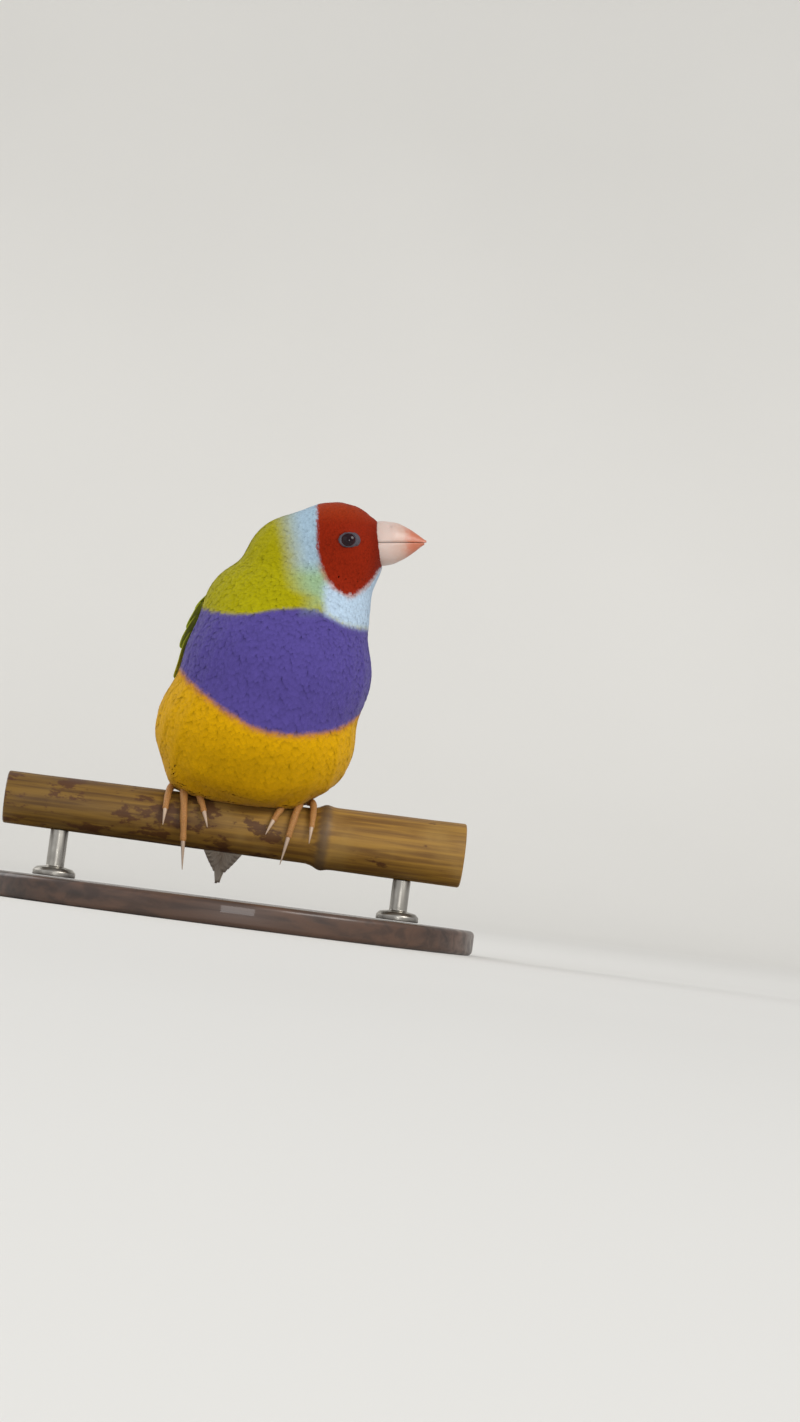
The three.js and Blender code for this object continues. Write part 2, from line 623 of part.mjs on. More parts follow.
const ROD_X = 42;
function makeRod(side) {
  const bottom = GAP;
  const top = PERCH_TOP_Z - BASE_THICKNESS - PERCH_RADIUS;
  const flange = ROD_RADIUS + 3;
  const outline = [[0, bottom], [flange, bottom], [flange, bottom + 1.2], [flange - 0.8, bottom + 2]];
  outline.push([ROD_RADIUS, bottom + 2.4], [ROD_RADIUS, top], [0, top]);
  const lathe = new THREE.LatheGeometry(outline.map(([r, z]) => new THREE.Vector2(r, z)), 24);
  lathe.rotateX(Math.PI / 2);
  lathe.translate(side * ROD_X, 0, -(PERCH_TOP_Z - BASE_THICKNESS));
  return toSolid(lathe).subtract(grownPerch);
}

// Finishes
const FINISH = {
  mask: { color: 0x97351c, roughness: 0.75 },
  blue: { color: 0xa9c8dc, roughness: 0.8 },
  lime: { color: 0xa2a012, roughness: 0.8 },
  violet: { color: 0x52468a, roughness: 0.8 },
  grey: { color: 0x9d968c, roughness: 0.7 },
  bill: { color: 0xe3c9bb, roughness: 0.4 },
  eye: { color: 0x1c1216, roughness: 0.1 },
  skin: { color: 0xc3905f, roughness: 0.6 },
  claw: { color: 0xb8a592, roughness: 0.45 },
  bamboo: { color: 0x9a7638, roughness: 0.5 },
  wood: { color: 0x3a2b20, roughness: 0.5 },
  steel: { color: 0x9a9488, roughness: 0.3, metalness: 0.9 },
};

function nodeMesh(name, solid, finish) {
  const mesh = new THREE.Mesh(toGeometry(solid), new THREE.MeshStandardMaterial(FINISH[finish]));
  mesh.name = name;
  return mesh;
}

const bird = new THREE.Group();
bird.add(
  nodeMesh('head', makeHead(), 'mask'),
  nodeMesh('neck', bodyStretch(CUTS.neck, CUTS.head, 5), 'lime'),
  nodeMesh('torso', bodyStretch(CUTS.rump, CUTS.neck, 19), 'violet'),
  nodeMesh('rump', bodyStretch(CUTS.tail, CUTS.rump, 8), 'blue'),
  nodeMesh('bill_upper', makeUpperBill(), 'bill'),
  nodeMesh('bill_lower', mandible(false).subtract(grownBody), 'bill'),
  nodeMesh('eye_left', ball(eyeCentre(1), EYE_RADIUS), 'eye'),
  nodeMesh('eye_right', ball(eyeCentre(-1), EYE_RADIUS), 'eye'),
  nodeMesh('wing_left', makeWing(1), 'lime'),
  nodeMesh('wing_right', makeWing(-1), 'lime'),
  nodeMesh('tail', makeTail(), 'grey'),
);
for (const [name, foot] of Object.entries(FEET)) {
  bird.add(nodeMesh(`leg_${name}`, makeLeg(foot), 'skin'));
  for (const toe of TOES) bird.add(nodeMesh(`claw_${name}_${toe.name}`, makeClaw(foot, toe), 'claw'));
}

const stand = new THREE.Group();
stand.add(
  nodeMesh('stand_perch', makePerch(), 'bamboo'),
  nodeMesh('stand_rod_left', makeRod(1), 'steel'),
  nodeMesh('stand_rod_right', makeRod(-1), 'steel'),
);
for (const group of [bird, stand]) group.position.set(0, PERCH_Y, PERCH_TOP_Z);

const base = nodeMesh('stand_base', makeBase(), 'wood');
const finch = new THREE.Group();
finch.add(bird, stand, base);
export default finch;
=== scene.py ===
"""The looks of a life-size gouldian finch on a bamboo perch and a plain display stand.

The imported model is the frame. One skin with its coat of feathers stands for the nodes of flesh, and finer
vanes stand for the vanes of the wings and the tail. Bird places are in millimetres over the perch's top.
"""

import math

import bpy
import numpy as np
from bpy.props import FloatProperty, FloatVectorProperty, IntProperty, PointerProperty
from mathutils import Matrix, Vector
from mathutils.bvhtree import BVHTree
from mathutils.kdtree import KDTree


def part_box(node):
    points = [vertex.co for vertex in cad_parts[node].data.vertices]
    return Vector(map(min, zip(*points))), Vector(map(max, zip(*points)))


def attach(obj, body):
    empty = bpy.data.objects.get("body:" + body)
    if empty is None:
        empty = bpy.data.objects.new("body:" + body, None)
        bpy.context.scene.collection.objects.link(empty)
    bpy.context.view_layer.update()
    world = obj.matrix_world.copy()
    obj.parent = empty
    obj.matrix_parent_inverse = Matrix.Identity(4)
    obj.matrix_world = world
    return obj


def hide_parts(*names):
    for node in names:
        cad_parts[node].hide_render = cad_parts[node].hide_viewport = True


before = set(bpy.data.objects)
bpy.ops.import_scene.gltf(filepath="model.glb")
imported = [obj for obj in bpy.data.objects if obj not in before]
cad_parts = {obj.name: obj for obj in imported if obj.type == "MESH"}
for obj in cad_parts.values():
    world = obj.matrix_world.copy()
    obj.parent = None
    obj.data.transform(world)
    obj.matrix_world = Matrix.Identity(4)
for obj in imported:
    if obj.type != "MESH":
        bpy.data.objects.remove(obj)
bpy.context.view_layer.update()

bl_info = {
    "name": "Gouldian Finch on a Perch",
    "version": (1, 0, 0),
    "blender": (4, 5, 0),
    "location": "3D View > Sidebar > Finch",
    "description": "Dresses the packed finch with its skin, plumage, bill, eyes, feet, perch and stand",
    "category": "Object",
}

MM = 0.001
BODY = "root"
SIDES = {"left": 1, "right": -1}

# Places read from the frame: the perch's axis, and its top, which bird places are measured from
PERCH_RADIUS = 7.0
PERCH_LOW, PERCH_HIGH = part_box("stand_perch")
PERCH_AXIS = (PERCH_LOW + PERCH_HIGH) / 2
PERCH_TOP = np.array([PERCH_AXIS.x, PERCH_AXIS.y, PERCH_AXIS.z + PERCH_RADIUS * MM])
BASE_LOW, BASE_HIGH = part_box("stand_base")


# Numbers

def unit(vectors):
    return vectors / np.maximum(np.linalg.norm(vectors, axis=-1, keepdims=True), 1e-9)


def dots(a, b):
    return np.sum(a * b, axis=-1)


def lerp(a, b, share):
    return a + (b - a) * share


def ease(x, low, high):
    share = np.clip((x - low) / (high - low), 0, 1)
    return share * share * (3 - 2 * share)


def profile(pairs, at):
    """A value read from a list of (place, value) pairs."""
    places, values = zip(*pairs)
    return np.interp(at, places, values)


def rounded_profile(pairs, at, blur):
    """The same, with its corners rounded over a stretch."""
    return np.mean([profile(pairs, at + blur * shift) for shift in np.linspace(-1, 1, 9)], axis=0)


def spline(points, count):
    """A smooth line through points, as evenly numbered places on it."""
    known = np.asarray(points, float)
    known = np.vstack([2 * known[0] - known[1], known, 2 * known[-1] - known[-2]])
    place = np.linspace(0, len(known) - 3 - 1e-9, count)
    index = place.astype(int)
    x = (place - index)[:, None]
    a, b, c, d = (known[index + step] for step in range(4))
    return 0.5 * (2 * b + (c - a) * x + (2 * a - 5 * b + 4 * c - d) * x**2 + (3 * b - a - 3 * c + d) * x**3)


def to_frame(points):
    """Bird millimetres to the frame's metres."""
    return np.asarray(points) * MM + PERCH_TOP


def to_bird(points):
    """The frame's metres to bird millimetres."""
    return (np.asarray(points) - PERCH_TOP) / MM


def linear(red, green, blue):
    """A screen colour, 0 to 255, as linear light."""
    share = np.array([red, green, blue]) / 255
    return tuple(np.where(share <= 0.04045, share / 12.92, ((share + 0.055) / 1.055) ** 2.4))


# Anatomy: the head's own axes, and the middle line that the body's markings and lie are read round

HEAD_CENTRE = np.array([15.2, -6, 63.8])
HEAD_TURN = math.radians(5)
HEAD_LIFT = math.radians(7.3)
FORWARD = unit(np.array([math.cos(HEAD_TURN), -math.sin(HEAD_TURN), math.tan(HEAD_LIFT)]))
LEFT = unit(np.cross([0, 0, 1], FORWARD))
UP = np.cross(FORWARD, LEFT)
HEAD_AXES = np.array([FORWARD, LEFT, UP])

EYE_RADIUS = 2.5
EYE_FORWARD, EYE_SIDE, EYE_UP = 3.6, 7.6, 0.1
LID_WIDE = (1.06, 1.2)
LID_TALL = (0.97, 0.9)

MIDDLE_LINE = spline(
    [
        (-1.6, 25.5, 2.8), (-1.2, 20.5, 7.5), (-0.4, 14, 12), (1, 6.5, 17), (3, 0.5, 27), (5, -2.5, 38),
        (7.4, -3.8, 46.5), (10.5, -4.8, 53.5), (14, -6, 62), (15, -6, 70), (15, -6, 74.6),
    ],
    60,
)
MIDDLE_HEADING = unit(np.gradient(MIDDLE_LINE, axis=0))


def at_head(forward, left, up, origin=HEAD_CENTRE):
    parts = np.broadcast_arrays(forward, left, up)
    return origin + np.stack(parts, axis=-1) @ HEAD_AXES


def in_head(points):
    """How far points are forward, left and up of the head's centre."""
    return np.moveaxis((points - HEAD_CENTRE) @ HEAD_AXES.T, -1, 0)


def round_body(points):
    """Where points lie round the middle line: the angle from the breast towards the bird's left, the share of
    the way from the tail to the crown, and the line's heading there."""
    gaps = np.linalg.norm(points[:, None] - MIDDLE_LINE[None], axis=2)
    weights = np.exp((gaps.min(1, keepdims=True) - gaps) / 2.5)
    weights /= weights.sum(1, keepdims=True)
    heading = unit(weights @ MIDDLE_HEADING)
    back = unit(np.array([0, 1, 0]) - heading * heading[:, 1:2])
    off = points - weights @ MIDDLE_LINE
    angle = np.degrees(np.arctan2(dots(off, np.cross(back, heading)), -dots(off, back)))
    return angle, weights @ np.linspace(0, 1, len(MIDDLE_LINE)), heading


def from_eye(points):
    """How far points are from the axis through both eyes, in the measure of the lids' long oval."""
    forward, _, up = in_head(points)
    return np.hypot((forward - EYE_FORWARD) / LID_WIDE[1], (up - EYE_UP) / LID_TALL[1])


# Markings. Skin and feathers read the same borders. Each is the millimetres that a place lies inside it.

MASK_REAR = [
    (-14, 4.8), (-13.1, 2.9), (-11.7, 0.5), (-9.2, -1.4), (-7.3, -2.4), (-4.9, -3.4), (-1.3, -3.9), (4, -4.1),
    (7.2, -4.2), (11, -4.9),
]
MASK_FLOOR = [(1, -14), (3, -13.2), (5.2, -12.7), (7.5, -10.7), (9.2, -8.7), (10.8, -6), (12, -5.4)]
COLLAR_WIDTH = [(-14, 9.4), (-9, 7.4), (-4, 5.7), (0, 6.2), (6, 7.4), (11, 7.4)]
BREAST_TOP = [
    (-180, 45), (-101, 45.2), (-58, 43.1), (-43, 42.8), (-31, 43.1), (-16, 45), (3, 46.3), (20, 46.5),
    (29, 45.6), (45, 44), (60, 43.9), (90, 44.6), (180, 45),
]
BREAST_BOTTOM = [
    (-180, 32), (-100, 31), (-65, 28.6), (-49, 26), (-26, 21.5), (-11, 18.3), (3, 16.1), (13, 15.7), (25, 16),
    (39, 17.4), (54, 19.5), (67, 22.3), (85, 25.6), (110, 29), (180, 32),
]
THROAT_CENTRE = np.array([24, -6, 48])
THROAT_RADIUS = 14.9
ZONES = ("mantle", "rump", "belly", "vent", "breast", "collar", "throat", "mask")


def mask_depth(points):
    forward, left, up = in_head(points)
    chin = lerp(-5.4, -14, ease(np.abs(left), 1, 6))
    return np.minimum(forward - profile(MASK_REAR, up), up - np.maximum(profile(MASK_FLOOR, forward), chin))


def collar_depth(points):
    forward, _, up = in_head(points)
    rear = forward - profile(MASK_REAR, up) + profile(COLLAR_WIDTH, up)
    return np.minimum(rear, up + 15.5)


def zone_depths(points):
    """For each zone, how far inside it each place is. A later zone lies over the ones before it."""
    angle, share, _ = round_body(points)
    height = points[:, 2]
    turn = np.abs(angle)
    ventral = (112 - turn) * 0.3
    flank = (lerp(136, 116, ease(height, 14, 26)) - turn) * 0.25
    breast = np.minimum.reduce([
        height - rounded_profile(BREAST_BOTTOM, angle, 6),
        rounded_profile(BREAST_TOP, angle, 5) - height,
        ventral,
    ])
    throat = np.minimum(
        THROAT_RADIUS - np.linalg.norm(points - THROAT_CENTRE, axis=1),
        height - rounded_profile(BREAST_TOP, angle, 5),
    )
    vent = np.minimum(points[:, 1] - 13 + 0.03 * turn, (118 - turn) * 0.2)
    return np.array([
        np.full(len(points), 99.0),
        np.minimum((0.3 - share) * 90, (turn - 90) * 0.25),
        np.minimum(rounded_profile(BREAST_BOTTOM, angle, 6) + 2 - height, flank),
        vent,
        breast,
        collar_depth(points),
        throat,
        mask_depth(points),
    ])


# How far each zone's colour fades over its border, in millimetres
BORDER_SOFTNESS = {
    "rump": 3, "belly": 0.5, "vent": 2.2, "breast": 0.6, "collar": 4.2, "throat": 1.2, "mask": 0.4,
}


def markings(points, colours, wander=0.0):
    """The plumage's colour at places, and the number of the zone that each belongs to."""
    depths = zone_depths(points) + wander
    colour = mantle_colour(points, colours)
    zone = np.zeros(len(points), int)
    for number, name in enumerate(ZONES[1:], 1):
        depth = depths[number]
        soft = BORDER_SOFTNESS[name]
        if name in RIMS:
            rim = np.exp(-(((depth + 0.3) / RIM_WIDTH) ** 2)) * rim_share(name, points)
            colour = lerp(colour, np.array(colours.rim), (RIMS[name] * rim)[:, None])
        colour = lerp(colour, zone_colour(name, points, colours), ease(depth, -soft, soft)[:, None])
        zone = np.where(depth > 0, number, zone)
    return colour, zone


RIMS = {"breast": 0.6, "mask": 0.55}
RIM_WIDTH = 0.7


def rim_share(name, points):
    """Where a warm line runs along a border: under the breast, and under the cheek."""
    if name == "breast":
        return ease(points[:, 2], 38, 33)
    return ease(in_head(points)[2], -4, -8)


def mantle_colour(points, colours):
    """Lime on the neck's sides, greener down the back."""
    _, share, _ = round_body(points)
    lower = ease(share, 0.55, 0.3)[:, None]
    return lerp(np.array(colours.lime), np.array(colours.lime_back), lower)


def zone_colour(name, points, colours):
    """A zone's own colour at places: the mask is warmer on the crown and deeper before the eyes, the collar
    greener at its foot, and the belly darker low down, as painted shade near the perch."""
    base = np.tile(np.array(getattr(colours, name)), (len(points), 1))
    if name == "mask":
        forward, _, up = in_head(points)
        crown = ease(up, 3, 9)[:, None]
        lore = (ease(forward, 7.5, 11) * ease(up, 7, 2))[:, None]
        base = lerp(base, np.array(colours.crown), crown)
        return lerp(base, np.array(colours.mask) * 0.72, lore)
    if name == "collar":
        _, _, up = in_head(points)
        low = ease(up, -4, -9.5)[:, None]
        return lerp(base, np.array(colours.collar_low), low)
    if name == "belly":
        # Painted shade: the belly is darkened low down, near the perch.
        deep = ease(points[:, 2], 7, 1)[:, None]
        return lerp(base, base * np.array([0.82, 0.78, 0.9]), deep)
    return base


# Working in Blender

def deselect():
    for other in bpy.context.selected_objects:
        other.select_set(False)


def only(piece):
    """Selects one object and makes it the active one."""
    deselect()
    piece.select_set(True)
    bpy.context.view_layer.objects.active = piece
    return piece


def apply_modifier(piece, kind, **settings):
    only(piece)
    bpy.ops.object.modifier_add(type=kind)
    modifier = piece.modifiers[-1]
    for name, value in settings.items():
        setattr(modifier, name, value)
    bpy.ops.object.modifier_apply(modifier=modifier.name)


def rest_in_mesh(piece):
    """Puts a piece's place, turn and size into its mesh."""
    only(piece)
    bpy.ops.object.transform_apply(location=True, rotation=True, scale=True)


def finish_piece(piece, name, material, replaced=()):
    piece.name = name
    piece.data.name = name
    piece.data.materials.clear()
    piece.data.materials.append(material)
    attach(piece, BODY)
    if replaced:
        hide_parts(*replaced)


def select_faces(piece, test):
    """In edit mode, selects the faces whose middle passes a test, and their edges and corners with them."""
    bpy.ops.mesh.select_mode(type="FACE")
    bpy.ops.mesh.select_all(action="DESELECT")
    bpy.ops.object.mode_set(mode="OBJECT")
    for face in piece.data.polygons:
        face.select = bool(test(face.center))
    bpy.ops.object.mode_set(mode="EDIT")
    bpy.ops.mesh.select_mode(type="FACE")


def copy_nodes(names, label):
    """One new object from copies of CAD nodes, with their loose triangles merged."""
    deselect()
    for name in names:
        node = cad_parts[name]
        copy = bpy.data.objects.new(label, node.data.copy())
        bpy.context.scene.collection.objects.link(copy)
        copy.select_set(True)
        bpy.context.view_layer.objects.active = copy
    if len(names) > 1:
        bpy.ops.object.join()
    copy = bpy.context.view_layer.objects.active
    bpy.ops.object.mode_set(mode="EDIT")
    bpy.ops.mesh.select_all(action="SELECT")
    bpy.ops.mesh.remove_doubles(threshold=1e-6)
    bpy.ops.object.mode_set(mode="OBJECT")
    copy.data.materials.clear()
    return copy


def discard(piece):
    mesh = piece.data
    bpy.data.objects.remove(piece)
    bpy.data.meshes.remove(mesh)


def new_object(name, vertices, faces):
    """A smooth object from an array of vertices in metres and arrays of faces of three or four corners."""
    mesh = bpy.data.meshes.new(name)
    corners = np.concatenate([f.ravel() for f in faces])
    sizes = np.concatenate([np.full(len(f), f.shape[1]) for f in faces])
    mesh.vertices.add(len(vertices))
    mesh.vertices.foreach_set("co", np.asarray(vertices, np.float32).ravel())
    mesh.loops.add(len(corners))
    mesh.loops.foreach_set("vertex_index", corners.astype(np.int32))
    mesh.polygons.add(len(sizes))
    mesh.polygons.foreach_set("loop_start", (np.cumsum(sizes) - sizes).astype(np.int32))
    mesh.update(calc_edges=True)
    mesh.polygons.foreach_set("use_smooth", np.ones(len(sizes), bool))
    mesh.validate()
    piece = bpy.data.objects.new(name, mesh)
    bpy.context.scene.collection.objects.link(piece)
    return piece


def add_map(piece, name, places):
    """A UV map from one place for each vertex."""
    layer = piece.data.uv_layers.new(name=name)
    corners = np.zeros(len(piece.data.loops), np.int32)
    piece.data.loops.foreach_get("vertex_index", corners)
    layer.data.foreach_set("uv", np.asarray(places, np.float32)[corners].ravel())


def add_colours(piece, colours):
    layer = piece.data.color_attributes.new("plumage", "FLOAT_COLOR", "POINT")
    opaque = np.hstack([colours, np.ones((len(colours), 1))])
    layer.data.foreach_set("color", opaque.astype(np.float32).ravel())


def vertex_places(piece, kind="co"):
    """The place of each of a piece's vertices, or another vector of them."""
    places = np.zeros(len(piece.data.vertices) * 3, np.float32)
    piece.data.vertices.foreach_get(kind, places)
    return places.reshape(-1, 3).astype(float)


def vertex_normals(piece):
    return vertex_places(piece, "normal")


def place_vertices(piece, places):
    """Puts a piece's vertices at places in metres."""
    piece.data.vertices.foreach_set("co", places.astype(np.float32).ravel())
    piece.data.update()


def smooth_normals(piece, rounds):
    """A piece's normals, evened out between neighbours."""
    normals = vertex_normals(piece)
    ends = np.zeros(len(piece.data.edges) * 2, np.int32)
    piece.data.edges.foreach_get("vertices", ends)
    first, second = ends.reshape(-1, 2).T
    for _ in range(rounds):
        total = normals.copy()
        np.add.at(total, first, normals[second])
        np.add.at(total, second, normals[first])
        normals = unit(total)
    return normals


def perch_room(points):
    """How far places over the perch can sink before they come to it."""
    reach = culm_radius(points[:, 0]) + 0.25
    top = np.sqrt(np.clip(reach**2 - points[:, 1] ** 2, 0, None)) - PERCH_RADIUS
    return np.where(np.abs(points[:, 1]) < reach, points[:, 2] - top, 9.0)


# How far the belly's feathers hang down before the perch, from the bird's right foot to its left
DRAPE = [(-16, 1.2), (-11, 2.2), (-6, 2.3), (-2, 2.4), (3, 3.1), (7, 3.3), (10, 2.6), (13, 1.9), (17, 1.0)]


def draped(points):
    """The belly's coat let down over the front of the perch, and over the roots of the toes."""
    share = np.exp(-(((points[:, 1] + 9) / 6) ** 4)) * ease(points[:, 2], 9, 2.5)
    drop = rounded_profile(DRAPE, points[:, 0], 1.5) * share
    over_toes = ease(np.abs(points[:, 1] + 2), 10, 5)
    over_toes = over_toes * ease(points[:, 2], 7.5, 4) * ease(points[:, 0], 20, 12)
    drop = np.maximum(drop, 3 * over_toes)
    drop = np.minimum(drop, np.maximum(perch_room(points) * 0.95, 0))
    return points - np.array([0, 0, 1]) * drop[:, None]


def over_bill(points):
    """The face's coat brought forward over the root of the bill, most of all over the culmen."""
    forward, left, up = in_head(points)
    high = up - BILL_ROOT[2]
    amount = profile([(-5, 0.0), (-3, 0.5), (0, 1.0), (5, 1.3)], high) * ease(forward, 8.2, 11.2)
    round_axis = unit(np.stack([left, high], axis=1))
    return points + at_head(0, round_axis[:, 0] * amount, round_axis[:, 1] * amount, origin=0.0)


class Surface:
    """A smooth closed form, asked in bird millimetres, that feathers are laid on."""

    def __init__(self, piece):
        self.places = to_bird(vertex_places(piece))
        self.vertex_normals = smooth_normals(piece, 12)
        self.faces = [list(p.vertices) for p in piece.data.polygons]
        self.corners = np.array([(face * 2)[:4] for face in self.faces])
        self.centres = np.array([self.places[f].mean(0) for f in self.faces])
        self.areas = np.array([p.area for p in piece.data.polygons]) / MM**2
        self.tree = BVHTree.FromPolygons([Vector(p) for p in self.places], self.faces)

    def settle(self, points):
        """The nearest places on the surface, and its normals there."""
        places = np.empty((len(points), 3))
        found = np.empty(len(points), int)
        for i, point in enumerate(points):
            place, _, found[i], _ = self.tree.find_nearest(point)
            places[i] = place
        corners = self.corners[found]
        near = 1 / (np.linalg.norm(self.places[corners] - places[:, None], axis=2) + 0.05) ** 2
        return places, unit(np.sum(self.vertex_normals[corners] * near[:, :, None], axis=1))

    def reach(self, origins, outward, furthest=45.0):
        """How far out the surface lies from inner places, looked at from outside."""
        distances = np.zeros(len(origins))
        for i, (origin, out) in enumerate(zip(origins, outward)):
            hit = self.tree.ray_cast(Vector(origin + out * furthest), Vector(-out), furthest)
            distances[i] = furthest - hit[3] if hit[0] is not None else 0
        return distances


def loft(rings):
    """Vertices and faces of a closed skin through rings of points, with a fan over each end."""
    rings = np.asarray(rings, float)
    rows, count, _ = rings.shape
    points = np.vstack([rings.reshape(-1, 3), rings[0].mean(0), rings[-1].mean(0)])
    row, column = np.meshgrid(np.arange(rows - 1), np.arange(count), indexing="ij")
    here = (row * count + column).ravel()
    beside = (row * count + (column + 1) % count).ravel()
    quads = np.stack([here, beside, beside + count, here + count], axis=1)
    column = np.arange(count)
    after = (column + 1) % count
    last = (rows - 1) * count
    start_fan = np.stack([after, column, np.full(count, rows * count)], axis=1)
    end_fan = np.stack([last + column, last + after, np.full(count, rows * count + 1)], axis=1)
    return points, quads, np.vstack([start_fan, end_fan])


def face_outwards(piece):
    only(piece)
    bpy.ops.object.mode_set(mode="EDIT")
    bpy.ops.mesh.select_all(action="SELECT")
    bpy.ops.mesh.normals_make_consistent(inside=False)
    bpy.ops.object.mode_set(mode="OBJECT")


def loft_object(name, rings):
    points, quads, fans = loft(rings)
    piece = new_object(name, to_frame(points), [quads, fans])
    face_outwards(piece)
    return piece


def swept_rings(path, sides, radius):
    """Rings round a path. radius(step, angle) gives each ring's radii, with angle 0 towards +Z."""
    path = np.asarray(path, float)
    heading = unit(np.gradient(path, axis=0))
    up = np.array([0, 0, 1.0]) if abs(heading[0][2]) < 0.9 else np.array([0, 1.0, 0])
    angles = np.linspace(0, 2 * np.pi, sides, endpoint=False)
    rings = []
    for step, (place, along) in enumerate(zip(path, heading)):
        up = unit(up - along * dots(up, along))
        side = np.cross(along, up)
        out = np.cos(angles)[:, None] * up + np.sin(angles)[:, None] * side
        rings.append(place + out * np.broadcast_to(radius(step, angles), angles.shape)[:, None])
    return rings


def union_of(pieces):
    """One closed piece from several that overlap."""
    whole = pieces[0]
    for other in pieces[1:]:
        apply_modifier(whole, "BOOLEAN", object=other, operation="UNION", solver="MANIFOLD")
        discard(other)
    return whole


# Forms kept while the pieces are made: the body's outer form and the bed that the wings lie on

MADE = {}
FLESH = ("head", "neck", "torso", "rump")

# The voxels that close the body and the wings' bed, the share of its faces that the skin keeps, and the size
# and depth of the ball that fills each eye's well
BODY_VOXEL = 0.42
BED_VOXEL = 0.7
SKIN_SHARE = 0.4
WELL_FILL = 2.9
WELL_FILL_SUNK = 0.25


def fill_eye_wells(piece):
    """Joins a ball over each eye's socket, so that the face runs on past it."""
    for side in SIDES.values():
        deselect()
        place = to_frame(at_head(EYE_FORWARD, side * (EYE_SIDE - WELL_FILL_SUNK), EYE_UP))
        bpy.ops.mesh.primitive_uv_sphere_add(
            radius=WELL_FILL * MM, location=place, segments=24, ring_count=16
        )
        ball = bpy.context.view_layer.objects.active
        rest_in_mesh(ball)
        piece.select_set(True)
        bpy.context.view_layer.objects.active = piece
        bpy.ops.object.join()
    return piece


def body_form():
    """The body's outer form without its cuts and facets."""
    if "body" not in MADE:
        piece = fill_eye_wells(copy_nodes(FLESH, "body_form"))
        grow = 0.25
        apply_modifier(piece, "DISPLACE", strength=grow * MM, mid_level=0.0)
        apply_modifier(piece, "REMESH", mode="VOXEL", voxel_size=BODY_VOXEL * MM)
        apply_modifier(piece, "SMOOTH", factor=0.6, iterations=10)
        apply_modifier(piece, "DISPLACE", strength=-grow * MM, mid_level=0.0)
        MADE["body_piece"] = piece
        MADE["body"] = Surface(piece)
    return MADE["body"]


def coat_form():
    """The form that the feathers' tips lie on: the body's, let down over the perch and out over the bill."""
    if "coat" not in MADE:
        bare_places = body_form().places
        piece = MADE["body_piece"]
        place_vertices(piece, to_frame(draped(over_bill(bare_places))))
        MADE["coat"] = Surface(piece)
        place_vertices(piece, to_frame(bare_places))
    return MADE["coat"]


# The tail's own frame, from its root at the rump
TAIL_PITCH = math.radians(44)
TAIL_LENGTH = 38.0
TAIL_ROOT = np.array([-1.55, 22.5, 5.3])
TAIL_ALONG = unit(np.array([-0.03, math.cos(TAIL_PITCH), -math.sin(TAIL_PITCH)]))
TAIL_ACROSS = unit(np.array([1, 0, 0]) - TAIL_ALONG * TAIL_ALONG[0])
TAIL_UP = np.cross(TAIL_ACROSS, TAIL_ALONG)
TAIL_AXES = np.array([TAIL_ALONG, TAIL_ACROSS, TAIL_UP])


def at_tail(along, across, up):
    parts = np.broadcast_arrays(along, across, up)
    return TAIL_ROOT + np.stack(parts, axis=-1) @ TAIL_AXES


def wing_bed():
    """The body, and a slim mass over the tail that the wing tips lie on."""
    if "bed" not in MADE:
        body_form()
        bed = MADE["body_piece"].copy()
        bed.data = bed.data.copy()
        bpy.context.scene.collection.objects.link(bed)
        deselect()
        bpy.ops.mesh.primitive_uv_sphere_add(radius=1, segments=32, ring_count=24)
        slab = bpy.context.view_layer.objects.active
        turned = Matrix(np.column_stack([TAIL_ACROSS * 6, TAIL_UP * 1.8, TAIL_ALONG * 34]) * MM).to_4x4()
        turned.translation = Vector(to_frame(at_tail(2, 0, 0.9)))
        slab.data.transform(turned)
        if turned.determinant() < 0:
            slab.data.flip_normals()
        bed.select_set(True)
        bpy.context.view_layer.objects.active = bed
        bpy.ops.object.join()
        apply_modifier(bed, "REMESH", mode="VOXEL", voxel_size=BED_VOXEL * MM)
        apply_modifier(bed, "SMOOTH", factor=0.6, iterations=12)
        MADE["bed"] = Surface(bed)
        discard(bed)
    return MADE["bed"]


# Materials

COLOUR = "NodeSocketColor"
NUMBER = "NodeSocketFloat"


